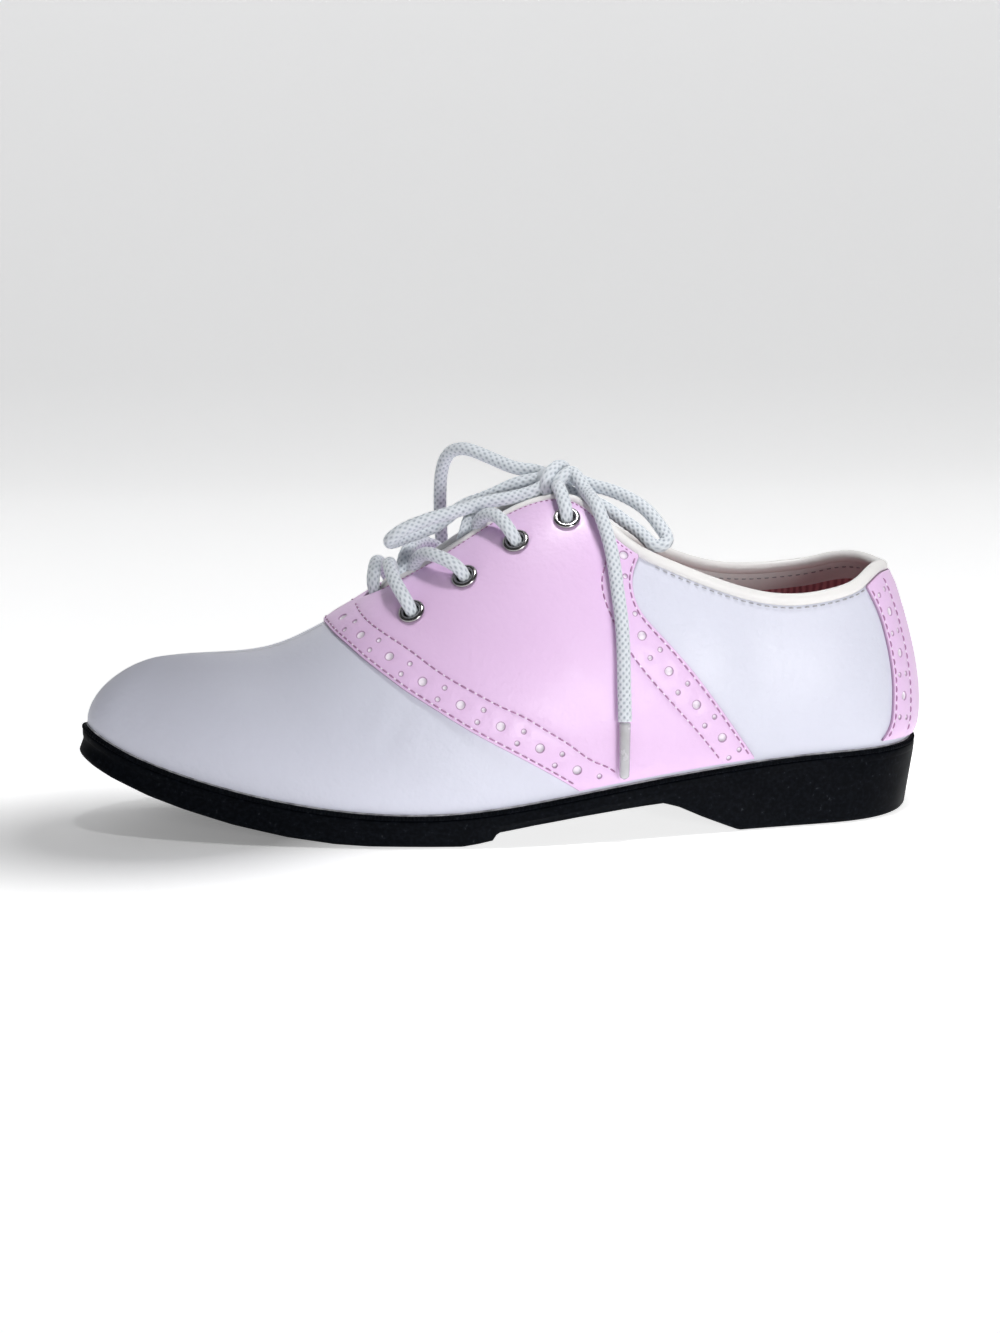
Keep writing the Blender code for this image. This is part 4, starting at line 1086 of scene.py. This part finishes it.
def inside(points, loop):
    """Which flat points lie in a closed loop."""
    x, y = points[:, 0][:, None], points[:, 1][:, None]
    x0, y0 = loop[:, 0][None], loop[:, 1][None]
    x1, y1 = np.roll(loop[:, 0], -1)[None], np.roll(loop[:, 1], -1)[None]
    spans = (y0 > y) != (y1 > y)
    safe = np.where(y1 == y0, 1e-12, y1 - y0)
    return (np.sum(spans & (x < (x1 - x0) * (y - y0) / safe + x0), axis=1) % 2) == 1


def flat_mm(points):
    return points * (1.0, DEGREE_MM)


def on_panel(points, inset, openings):
    """Which flat points lie on a panel and in none of its openings."""
    good = inside(points, inset)
    for loop in openings:
        good &= ~inside(points, loop)
    return good


def panel_points(panel, outline, loops, grooves):
    """Flat points of a panel and how deep each is sunk: its loops, the sewing lines and an even lattice."""
    low, high = flat_mm(outline).min(0), flat_mm(outline).max(0)
    places = np.arange(low[0], high[0], PANEL_SPACING)
    lattice = [np.stack([places + 0.5 * PANEL_SPACING * (k % 2), np.full(len(places), row)], -1)
               for k, row in enumerate(np.arange(low[1], high[1], PANEL_SPACING * 0.87))]
    layers = [(panel.aside(panel.even(line, GROOVE_SPACING), offset), sunk, GROOVE_CLEARANCE)
              for line in grooves for offset, sunk in GROOVE]
    layers.append((np.concatenate(lattice) / (1.0, DEGREE_MM), 0.0, LATTICE_CLEARANCE))
    taken = kdtree.KDTree(sum(len(loop) for loop in loops) + sum(len(layer[0]) for layer in layers))
    kept, depth = [], []

    def keep(points, sunk):
        for point in flat_mm(points):
            taken.insert((*point, 0.0), 0)
        taken.balance()
        kept.append(points)
        depth.append(np.full(len(points), sunk))

    keep(np.concatenate(loops), 0.0)
    for points, sunk, gap in layers:
        good = on_panel(points, loops[0], loops[1:])
        good &= np.array([taken.find((*point, 0.0))[2] > gap for point in flat_mm(points)])
        keep(points[good], sunk)
    return np.concatenate(kept), np.concatenate(depth)


def lay_panel(shell, panel, outline, holes, grooves):
    """A panel with rounded edges, punched holes (centre, radius, sides) and sunken sewing lines. Its cut sides,
    hole walls and small holes' rims take the third look: partly the cut edge's colour, partly painted shade.
    """
    panel.set_edge(outline)
    inset = panel.aside(outline, EDGE_ROUND, closed=True)
    if not inside(inset[:1], outline)[0]:
        inset = panel.aside(outline, -EDGE_ROUND, closed=True)
    holes = [hole for hole in holes if inside(panel.circle(hole[0], hole[1] + HOLE_MARGIN, 12), inset).all()]
    wide = [panel.circle(centre, radius + HOLE_RIM, count) for centre, radius, count in holes]
    tight = [panel.circle(*hole) for hole in holes]
    loops = [inset] + wide
    flat, sunk = panel_points(panel, outline, loops, grooves)
    edges, start = [], 0
    for loop in loops:
        edges += [(start + k, start + (k + 1) % len(loop)) for k in range(len(loop))]
        start += len(loop)
    made = delaunay_2d_cdt([Vector(point) for point in flat_mm(flat)], edges, [], 0, 1e-5)
    if len(made[0]) != len(flat):
        raise RuntimeError(f"panel points moved: {len(made[0])} for {len(flat)}")
    faces = np.array(made[2])
    faces = faces[on_panel(flat[faces].mean(1), inset, wide)].tolist()
    sheets = [panel.point(flat, panel.top(flat) - sunk), panel.point(flat, PANEL_UNDER)]
    shell.add(np.concatenate(sheets), faces + [[len(flat) + i for i in face[::-1]] for face in faces])
    for number, (loop, rim) in enumerate(zip(loops, [outline] + tight)):
        high = panel.top(loop)
        rings = [panel.point(loop, high), panel.point(0.3 * loop + 0.7 * rim, high - 0.08)]
        small = number > 0 and holes[number - 1][1] < BLIND_HOLE
        if small:
            rings += [panel.point(rim, high - 0.6 * HOLE_DEPTH), panel.point(rim, high - HOLE_DEPTH)]
            shell.add(rings[-1], [list(range(len(rim)))], 1)
            shell.add(panel.point(loop, PANEL_UNDER), [list(range(len(rim)))])
        else:
            rings += [panel.point(rim, high - 0.34), panel.point(rim, -0.05), panel.point(loop, PANEL_UNDER)]
        # Slot 2 is the dark mauve: partly cut edge, partly painted shade down the walls and round the small
        # holes.
        shell.grid(np.array(rings[:2]), 2 if small else 0, wrap_columns=True)
        shell.grid(np.array(rings[1:]), 2, wrap_columns=True)


def sew(shell, panel, line, pitch=STITCH_PITCH, length=STITCH_LENGTH, radius=STITCH_RADIUS, slot=0,
        sunk=STITCH_SUNK):
    """A row of stitches along a flat line of a panel."""
    fine = panel.even(line, 0.3)
    points = panel.point(fine, panel.top(fine) - sunk)
    run_stitches(shell, points, panel.normal(fine), pitch, length, radius, slot, pricks=slot == 0)


def run_stitches(shell, points, normals, pitch, length, radius, slot=0, pricks=False):
    """Stitches along a line of points, with the pale needle pricks between them where wanted."""
    arc = arc_along(points)
    count = int(arc[-1] / pitch)
    middles = (np.arange(count) + 0.5) * arc[-1] / count
    runs = unit(np.stack([np.gradient(points[:, k], arc) for k in range(3)], -1))
    beads = [(middles, length, radius, slot, 0.5, 2.4)]
    if pricks:
        beads.append((middles[:-1] + 0.5 * arc[-1] / count, 2.4 * PRICK_RADIUS, PRICK_RADIUS, 2, 0.1, 0.5))
    for places, long, fat, face_slot, rise, fall in beads:
        steps = np.linspace(-0.5, 0.5, 8)
        where = places[:, None] + steps * long
        here, up, ahead = [resample(where, arc, rows) for rows in (points, normals, runs)]
        up, ahead = unit(up), unit(ahead)
        aside = np.cross(up, ahead)
        girth = fat * np.sqrt(np.clip(1.0 - (2.0 * np.abs(steps)) ** 3, 0.05, 1.0))
        arch = fat * (rise - fall * np.abs(2.0 * steps) ** 4)
        phi = full_turn(8)
        rings = (here + up * arch[:, None])[:, :, None] + girth[:, None, None] * (
            np.cos(phi)[:, None] * up[:, :, None] + np.sin(phi)[:, None] * aside[:, :, None])
        faces = bar_faces(len(steps), 8)
        for bead in rings:
            shell.add(bead, faces, face_slot)


def brogue(panel, line, start, stop):
    """Big holes at a pitch along a band's middle line and pairs of small ones between them."""
    length = panel.length(line)
    holes = []
    place = start - BROGUE_PITCH
    while place < length - stop:
        if place > 0.0:
            holes.append((panel.at(line, place), BIG_HOLE, 18))
        middle = place + 0.5 * BROGUE_PITCH
        if FIRST_PAIR < middle < length - stop:
            run = np.stack([panel.at(line, middle + step) for step in (-0.5, 0.0, 0.5)])
            for offset in (SMALL_HOLE_OFFSET, -SMALL_HOLE_OFFSET):
                holes.append((panel.aside(run, offset)[1], SMALL_HOLE, 12))
        place += BROGUE_PITCH
    return holes


def curve_between(table):
    """Smooth dense line through a table of flat places."""
    table = np.asarray(table, float)
    reach = np.concatenate([[0.0], np.cumsum(np.hypot(*np.diff(flat_mm(table), axis=0).T))])
    fine = np.linspace(0.0, reach[-1], 120)
    return np.stack([smooth_table(reach, table[:, k])(fine) for k in range(2)], -1)


def half_way(panel, first, second):
    """Middle line between two lines that run the same way."""
    return 0.5 * (panel.even(first, 1.0, 120) + panel.even(second, 1.0, 120))


def mirrored(line):
    return np.stack([line[:, 0], 180.0 - line[:, 1]], -1)


def rear_corner(side):
    """Ridge place where the saddle's rear edge meets the wall's top."""
    places = np.linspace(150.0, 179.0, 2000)
    angles = top_angle(side, places)
    return float(places[np.argmin(np.abs(saddle_rear(angles) - places))])


def make_saddle():
    """Pink saddle over both sides, with its bands of brogue holes, eyelet holes and seams."""
    panel = Panel(saddle_place)
    foot = 0.7
    rise = np.linspace(foot, 90.0, 160)
    front = np.stack([saddle_front(rise), rise], -1)
    outline = [front, mirrored(front)[-2::-1]]
    rears = {}
    for side in (MEDIAL, LATERAL):
        corner = rear_corner(side)
        climb = np.linspace(foot, float(top_angle(side, corner)), 120)
        edge = np.stack([saddle_rear(climb), climb], -1)
        throat = np.linspace(corner, THROAT_START, 160)
        top = np.stack([throat, top_angle(side, throat)], -1)
        rears[side] = edge, top
    base = np.linspace(0.0, 1.0, 40)[1:-1, None]
    edge, top = rears[MEDIAL]
    outline += [mirrored(front[:1] * (1.0 - base) + edge[:1] * base), mirrored(edge), mirrored(top)[1:]]
    edge, top = rears[LATERAL]
    outline += [top[-2::-1], edge[-2::-1], edge[:1] * (1.0 - base) + front[:1] * base]
    outline = panel.even(np.concatenate(outline + [front[:1]]), 1.4)[:-1]
    front_seam, rear_seam = curve_between(FRONT_SEAM), curve_between(REAR_SEAM)
    holes, sewn = [], []
    for side in (LATERAL, MEDIAL):
        turned = (lambda line: line) if side == LATERAL else mirrored
        sign = 1.0 if side == LATERAL else -1.0
        edge = rears[side][0]
        holes += brogue(panel, turned(half_way(panel, front, front_seam)), FRONT_BROGUE_START, 2.0)
        holes += brogue(panel, turned(half_way(panel, edge, rear_seam)), REAR_BROGUE_START, 3.0)
        lines = [panel.aside(turned(front), -sign * STITCH_INSET), turned(front_seam),
                 panel.aside(turned(edge), sign * STITCH_INSET), turned(rear_seam)]
        sewn += [line[inside(line, outline)] for line in lines]
        for along, angle in EYELETS:
            holes.append((turned(np.array([[along, angle]]))[0], EYELET_OPENING, 36))
    shell = Shell()
    lay_panel(shell, panel, outline, holes, sewn)
    shell.piece("saddle_panel", [PINK, PALE, CUT_EDGE_AND_SHADE], "pink_leather", "saddle")
    threads = Shell()
    for line in sewn:
        sew(threads, panel, line[2:-2])
    for side in (LATERAL, MEDIAL):
        top = rears[side][1]
        line = np.stack([top[:, 0], top[:, 1] - 1.1], -1)[4:-10]
        sew(threads, panel, line if side == LATERAL else mirrored(line), **THROAT_STITCHES)
    threads.piece("saddle_stitches", [MAUVE_THREAD, PINK_THREAD, PALE], "pink_leather")


def make_counter():
    """Pink counter round the heel, with a band of brogue holes along each front edge."""
    panel = Panel(counter_place)

    def top_at(reach):
        turn, _ = counter_place(reach, reach)
        crown = ring(turn)[:, RIB_COLUMNS.index("crown")]
        return np.where(reach < 0.0, top_angle(LATERAL, crown), top_angle(MEDIAL, crown))

    edges = {}
    for sign in (-1.0, 1.0):
        climb = np.linspace(20.0, 42.0, 800)
        cross = np.argmin(np.abs(top_at(sign * counter_reach(climb)) - climb))
        rise = np.linspace(COUNTER_FOOT, climb[cross], 120)
        edges[sign] = np.stack([sign * counter_reach(rise), rise], -1)
    left, right = edges[-1.0], edges[1.0]
    round_top = np.linspace(left[-1, 0], right[-1, 0], 120)[1:-1]
    top = np.stack([round_top, top_at(round_top)], -1)
    base = np.linspace(right[0, 0], left[0, 0], 80)[1:]
    bottom = np.stack([base, np.full(len(base), COUNTER_FOOT)], -1)
    outline = panel.even(np.concatenate([left, top, right[::-1], bottom]), 1.4)[:-1]
    holes, lines = [], []
    for sign in (-1.0, 1.0):
        edge = edges[sign]
        outer, inner = [panel.aside(edge, sign * inward) for inward in (STITCH_INSET, BAND_WIDTH)]
        lines += [line[inside(line, outline)] for line in (outer, inner)]
        holes += brogue(panel, 0.5 * (edge + inner), COUNTER_BROGUE_START, 2.5)
    shell = Shell()
    lay_panel(shell, panel, outline, holes, lines)
    shell.piece("counter_panel", [PINK, PALE, CUT_EDGE_AND_SHADE], "pink_leather", "counter")
    threads = Shell()
    for line in lines:
        sew(threads, panel, line[2:-3])
    threads.piece("counter_stitches", [MAUVE_THREAD, PINK_THREAD, PALE], "pink_leather")


def edge_run(side, crown):
    """Unit direction of the wall's top edge."""
    places = np.clip([crown - 0.4, crown + 0.4], *column_range("crown"))
    if crown >= column_range("crown")[1] - 0.05:
        return np.array([0.0, 1.0, 0.0])
    ends = skin(turn_at(side, "crown", places), top_angle(side, places))
    return unit(ends[1] - ends[0])


def binding_columns():
    heel = column_range("crown")[1]
    throat = np.linspace(BINDING_START, CORNER_START, 44)
    corner = np.linspace(CORNER_START, CORNER_END, 44)
    rear = CORNER_END + (heel - CORNER_END) * np.sin(np.linspace(0.0, math.pi / 2, 44))
    return np.concatenate([throat[:-1], corner[:-1], rear])


def make_binding():
    """Rolled edge round the throat and the collar, seated on the wall's top, with a stitch row under it."""
    crowns = binding_columns()
    rings, stitch_points, stitch_normals = [], [], []
    phi = full_turn(18)
    for side, places in ((LATERAL, crowns), (MEDIAL, crowns[-2::-1])):
        for crown in places:
            turn, angle = turn_at(side, "crown", crown), float(top_angle(side, crown))
            on_saddle = float(np.interp(crown, SADDLE_LEAVES_EDGE, (1.0, 0.0)))
            radius = COLLAR_BEAD + (THROAT_BEAD - COLLAR_BEAD) * on_saddle
            middle = 0.5 * (on_saddle * PANEL_TOP - WALL)
            normal = outward(turn, angle)
            rise = np.cross(edge_run(side, crown), normal)
            rise *= np.sign(rise @ (skin(turn, angle) - skin(turn, angle - 0.5)))
            end = min(1.0, 0.25 + 0.5 * (crown - BINDING_START))
            tall, wide = (radius + 0.42 + 0.2 * on_saddle) * end, (radius + 0.25 + 0.25 * on_saddle) * end
            core = lifted(turn, angle, middle + 0.35 * on_saddle) + rise * (radius + BINDING_GAP - 0.36)
            rings.append(core + tall * np.sin(phi)[:, None] * rise + wide * np.cos(phi)[:, None] * normal)
            if on_saddle < 0.5:
                stitch_points.append(lifted(turn, angle, 0.12) - rise * 0.75)
                stitch_normals.append(normal)
    shell = Shell()
    shell.add(np.array(rings), bar_faces(len(rings), 18))
    shell.piece("collar_binding", [TRIM], "white_leather", "binding")
    threads = Shell()
    run_stitches(threads, np.array(stitch_points), np.array(stitch_normals), **COLLAR_STITCHES)
    inner_points, inner_normals = [], []
    for side, places in ((LATERAL, crowns[60:]), (MEDIAL, crowns[-2:60:-1])):
        for crown in places:
            turn = turn_at(side, "crown", crown)
            angle = angles_from_top(turn, float(top_angle(side, crown)), np.array([0.0, 1.7]))[1]
            inner_points.append(lifted(turn, angle, -WALL - 0.05))
            inner_normals.append(-outward(turn, angle))
    run_stitches(threads, np.array(inner_points), np.array(inner_normals), **LINING_STITCHES)
    threads.piece("collar_stitches", [GREY_THREAD], "white_leather")


def make_eyelets():
    """Turned metal rings, one in each hole of the saddle."""
    phi = full_turn(44)
    radius, height = EYELET_PROFILE[:, :1], EYELET_PROFILE[:, 1:]
    turned = np.stack([radius * np.cos(phi), radius * np.sin(phi), height * np.ones_like(phi)], -1)
    for side, label in ((LATERAL, "lateral"), (MEDIAL, "medial")):
        for number, (along, angle) in enumerate(EYELETS, 1):
            matrix = np.array(eyelet_frame(side, along, angle))
            placed = turned @ matrix[:3, :3].T + (matrix[:3, 3] / MM + (MIDDLE_ALONG, MIDDLE_ACROSS, 0.0))
            shell = Shell()
            shell.grid(placed, wrap_rows=True, wrap_columns=True)
            node = f"eyelet_{label}_{number}"
            shell.piece(node + "_ring", [NICKEL], "eyelet_metal", node, sharp=48.0)


def make_tongue():
    """Leaf under the throat, narrower at its tip, with rounded edges."""
    crowns = np.linspace(TONGUE_FRONT, TONGUE_TOP, 90)
    leaf = np.linspace(TONGUE_EDGE_ANGLE, 180.0 - TONGUE_EDGE_ANGLE, 64)
    top, under = [], []
    for crown in crowns:
        drop = WALL + TONGUE_GAP + TONGUE_SINK * min(1.0, (crown - TONGUE_FRONT) / TONGUE_SINK_RUN)
        tip = max(0.0, (crown - TONGUE_TOP + TONGUE_TIP_RUN) / TONGUE_TIP_RUN)
        narrow = 1.0 - TONGUE_NARROWING * tip ** 2
        angles = 90.0 + (leaf - 90.0) * narrow
        edge = np.minimum(np.minimum(leaf - leaf[0], leaf[-1] - leaf) * 0.9, TONGUE_TOP - crown)
        out = 1.0 - np.clip(edge / TONGUE_ROUND, 0.0, 1.0)
        cuts = 0.5 * TONGUE_THICK * (1.0 - np.sqrt(np.clip(1.0 - out ** 2, 0, 1)))
        top.append([over_skin(crown, *row) for row in zip(angles, -drop - cuts)])
        under.append([over_skin(crown, *row) for row in zip(angles, -drop - TONGUE_THICK + cuts)])
    shell = Shell()
    shell.slab(np.array(top), np.array(under))
    shell.piece("tongue_leaf", [WHITE], "white_leather", "tongue")


def side_frame(turn):
    """Feather-line rows and their outward direction in plan."""
    step = ring(turn + 0.004) - ring(turn - 0.004)
    return ring(turn), unit(np.stack([-step[:, 1], step[:, 0]], -1))


def even_turns(count):
    return np.interp(np.linspace(0.0, SCAN_ARC[-1], count, endpoint=False), SCAN_ARC, SCAN)


def cap(plan, height, inner):
    """Triangles over a closed plan loop with points inside it: points and faces."""
    flat = np.concatenate([plan, inner])
    edges = [(k, (k + 1) % len(plan)) for k in range(len(plan))]
    made = delaunay_2d_cdt([Vector(point) for point in flat], edges, [], 0, 1e-6)
    flat = np.array(made[0])
    faces = np.array(made[2])
    faces = faces[inside(flat[faces].mean(1), plan)]
    return raised(flat, height(flat)), faces.tolist()


def make_outsole():
    """Moulded sole: milled lip, groove under it, leaning side, rounded foot and stepped underside."""
    teeth = int(round((SCAN_ARC[-1] + 2.0 * math.pi * WELT_MARGIN) / TOOTH_PITCH))
    total = teeth * TOOTH_POINTS
    here, out = [rows[::-1] for rows in side_frame(even_turns(total))]
    wave = 0.5 - 0.5 * np.cos(2.0 * math.pi * np.arange(total) / TOOTH_POINTS)
    lip = []
    for offset, drop, bite in SOLE_LIP:
        plan = here[:, :2] + out * (WELT_MARGIN + offset - TOOTH_DEPTH * bite * wave)[:, None]
        lip.append(raised(plan, here[:, 2] - drop - 0.1 * bite * wave))
    shell = Shell()
    shell.grid(np.array(lip), wrap_columns=True)
    coarse, coarse_out = here[::TOOTH_POINTS], out[::TOOTH_POINTS]
    taper = coarse[:, RIB_COLUMNS.index("taper")]
    side = [raised(coarse[:, :2] + coarse_out * (WELT_MARGIN + offset), coarse[:, 2] - drop)
            for offset, drop in SOLE_SIDE]
    foot_plan = coarse[:, :2] + coarse_out * (WELT_MARGIN - SOLE_LEAN * taper)[:, None]
    foot = raised(foot_plan, underside(foot_plan[:, 0]) + SOLE_FOOT_RISE)
    side += [side[-1] * (1.0 - share) + foot * share for share in (0.25, 0.5, 0.75, 1.0)]
    for inward, rise in SOLE_FOOT:
        lean = (SOLE_LEAN + (1.0 - SOLE_LEAN) * inward) * taper
        plan = coarse[:, :2] + coarse_out * (WELT_MARGIN - lean - SOLE_FOOT_EDGE * inward)[:, None]
        side.append(raised(plan, underside(plan[:, 0]) + rise * SOLE_FOOT_RISE))
    fans = []
    for k in range(teeth):
        after = (k + 1) % teeth
        tooth = list(range(k * TOOTH_POINTS, (k + 1) * TOOTH_POINTS))
        fans.append(tooth + [after * TOOTH_POINTS, total + after, total + k])
    shell.add(np.concatenate([lip[-1], side[0]]), fans)
    shell.grid(np.array(side), wrap_columns=True)
    base, middle = side[-1][:, :2], here[:, :2].mean(0)
    breaks = UNDERSIDE[:, 0]
    stations = np.unique(np.concatenate([breaks, breaks - 0.4, np.arange(6.0, 264.0, 6.0)]))
    spots = np.array([(along, across) for along in stations for across in np.arange(-45.0, 46.0, 4.5)])
    spots = spots[inside(spots, middle[None] + (base - middle) * 0.975)]
    shell.add(*cap(base, lambda flat: underside(flat[:, 0]), spots))
    points, faces = cap(lip[0][:, :2], lambda flat: np.zeros(len(flat)), np.zeros((0, 2)))
    points[:total, 2] = lip[0][:, 2]
    shell.add(points, faces)
    shell.piece("outsole_unit", [RUBBER], "outsole", "outsole", sharp=42.0)


def make_seam():
    """Uneven line of dried glue where the upper meets the sole."""
    here, out = side_frame(even_turns(SEAM_POINTS))
    draw = np.random.default_rng(5)
    wobble = np.convolve(draw.normal(0.0, 1.0, SEAM_POINTS), np.ones(9) / 9.0, "same") * SEAM_WOBBLE
    path = raised(here[:, :2] + out * (SEAM_LIFT + 0.25 * wobble)[:, None], here[:, 2] + SEAM_LIFT)
    radii = np.concatenate([SEAM_RADIUS + 0.4 * wobble, [SEAM_RADIUS]]).clip(0.16, 0.5)
    shell = Shell()
    tube(shell, np.concatenate([path, path[:1]]), radii, 8)
    shell.piece("feather_seam", [GLUE], "outsole")


def make_insole():
    """Footbed board, a little dished, with a rounded rim."""
    low, high = column_range("along")
    fore = low + INSOLE_TOE_RUN * (1.0 - np.cos(np.linspace(0.0, math.pi / 2, 30)))
    rear = INSOLE_HEEL + (high - INSOLE_HEEL) * np.sin(np.linspace(0.0, math.pi / 2, 30))
    stations = np.concatenate([fore[:-1], np.linspace(fore[-1], INSOLE_HEEL, 60)[:-1], rear])
    share = np.linspace(0.0, 1.0, 28)[:, None]
    top, under = [], []
    for along in stations:
        ends = []
        for side in (LATERAL, MEDIAL):
            turn = turn_at(side, "along", along)
            here, normal = side_frame(np.array([float(turn)]))
            ends.append(np.array([*(here[0, :2] - normal[0] * INSOLE_INSET), here[0, 2] + SEAM_GAP]))
        line = ends[0] * (1.0 - share) + ends[1] * share
        under.append(line)
        out = (1.0 - np.minimum(share, 1.0 - share) * 24.0).clip(0.0, 1.0)
        rim = np.sqrt(np.clip(1.0 - out ** 2, 0.0, 1.0))
        dish = 0.5 * (2.0 * share - 1.0) ** 2 + 0.5
        top.append(line + np.array([0.0, 0.0, 1.0]) * INSOLE_THICK * (0.7 + 0.3 * rim) * (0.85 + 0.15 * dish))
    shell = Shell()
    shell.slab(np.array(top), np.array(under))
    shell.piece("insole_board", [FOOTBED], "insole", "insole")


def make_lace():
    """Knot, lacing, aglets and the free runs of the bow."""
    knot = make_knot()
    make_lacing()
    near_aglet = make_aglet("aglet_near", NEAR_AGLET_ROUTE)
    far_aglet = make_aglet("aglet_far", FAR_AGLET_ROUTE)
    make_cord("lace_end_near", [*NEAR_INNER, *NEAR_LEAD, *skin_route(NEAR_END_ROUTE)])
    make_cord("lace_end_far", [*FAR_INNER, *FAR_LEAD, *skin_route(FAR_END_ROUTE)])
    make_cord("lace_loop_toe", [*TOE_INNER, *TOE_LOOP, *TOE_RETURN])
    make_cord("lace_loop_heel", [*HEEL_INNER, *HEEL_LOOP, *HEEL_RETURN])


def set_stage():
    """Pale floor that curves up behind the shoe. It glows as painted light, dimmer towards the back, with a
    painted shadow under the toe.
    """
    profile = [(FLOOR_FRONT, 0.0)]
    for angle in np.linspace(0.0, math.pi / 2, 24):
        profile.append((FLOOR_BEND_START + FLOOR_BEND * math.sin(angle),
                        FLOOR_BEND - FLOOR_BEND * math.cos(angle)))
    profile.append((FLOOR_BEND_START + FLOOR_BEND, FLOOR_TOP))
    points = [(x, y, z - FLOOR_DROP) for y, z in profile for x in (-FLOOR_HALF_WIDTH, FLOOR_HALF_WIDTH)]
    mesh = bpy.data.meshes.new("floor")
    mesh.from_pydata(points, [], grid_faces(len(profile), 2))
    mesh.shade_smooth()
    look = Look("glowing_floor_painted_shadow", (0.84, 0.84, 0.845), 0.7, Emission_Color=(1.0, 1.0, 1.0, 1.0))
    # Painted light: the floor glows, less towards the back.
    behind = look.node("SeparateXYZ", Vector=look.place).outputs["Y"]
    glow = look.node("MapRange", Value=behind, From_Min=0.3, From_Max=1.2, To_Min=0.78, To_Max=0.44)
    # Painted shadow: the glow drops under and in front of the toe.
    toe_shadow_place = look.node("Mapping", Vector=look.place, Location=(1.1, 0.1, 0.0), Scale=(10.0, 13.0, 1.0))
    shade = look.node("TexGradient", {"gradient_type": "SPHERICAL"}, Vector=toe_shadow_place.outputs["Vector"])
    glow = look.node("MapRange", Value=shade.outputs["Fac"], From_Min=0.05, From_Max=0.6,
                     To_Min=glow.outputs["Result"], To_Max=0.2)
    look.feed(look.shader, {"Emission Strength": glow.outputs["Result"]})
    mesh.materials.append(look.material)
    floor = bpy.data.objects.new("floor", mesh)
    bpy.context.scene.collection.objects.link(floor)


def add_light(kind, name, place, aim, power, settings):
    data = bpy.data.lights.new(name, kind)
    data.energy = power
    for setting, value in settings.items():
        setattr(data, setting, value)
    made = bpy.data.objects.new(name, data)
    made.location = place
    made.rotation_euler = (Vector(place) - Vector(aim)).to_track_quat("Z", "Y").to_euler()
    bpy.context.scene.collection.objects.link(made)


def set_light():
    """A low soft key from the heel side, a soft pool from above over the instep and a dim room."""
    add_light(*KEY_LIGHT)
    add_light(*POOL_LIGHT)
    world = bpy.data.worlds.new("studio")
    world.use_nodes = True
    room = world.node_tree.nodes["Background"]
    room.inputs["Color"].default_value = ROOM_COLOUR
    room.inputs["Strength"].default_value = ROOM_STRENGTH
    bpy.context.scene.world = world
    bpy.context.scene.view_settings.view_transform = "Standard"


set_camera()
make_lace()
make_upper()
make_saddle()
make_counter()
make_binding()
make_eyelets()
make_tongue()
make_insole()
make_outsole()
make_seam()
set_stage()
set_light()
bpy.context.view_layer.update()
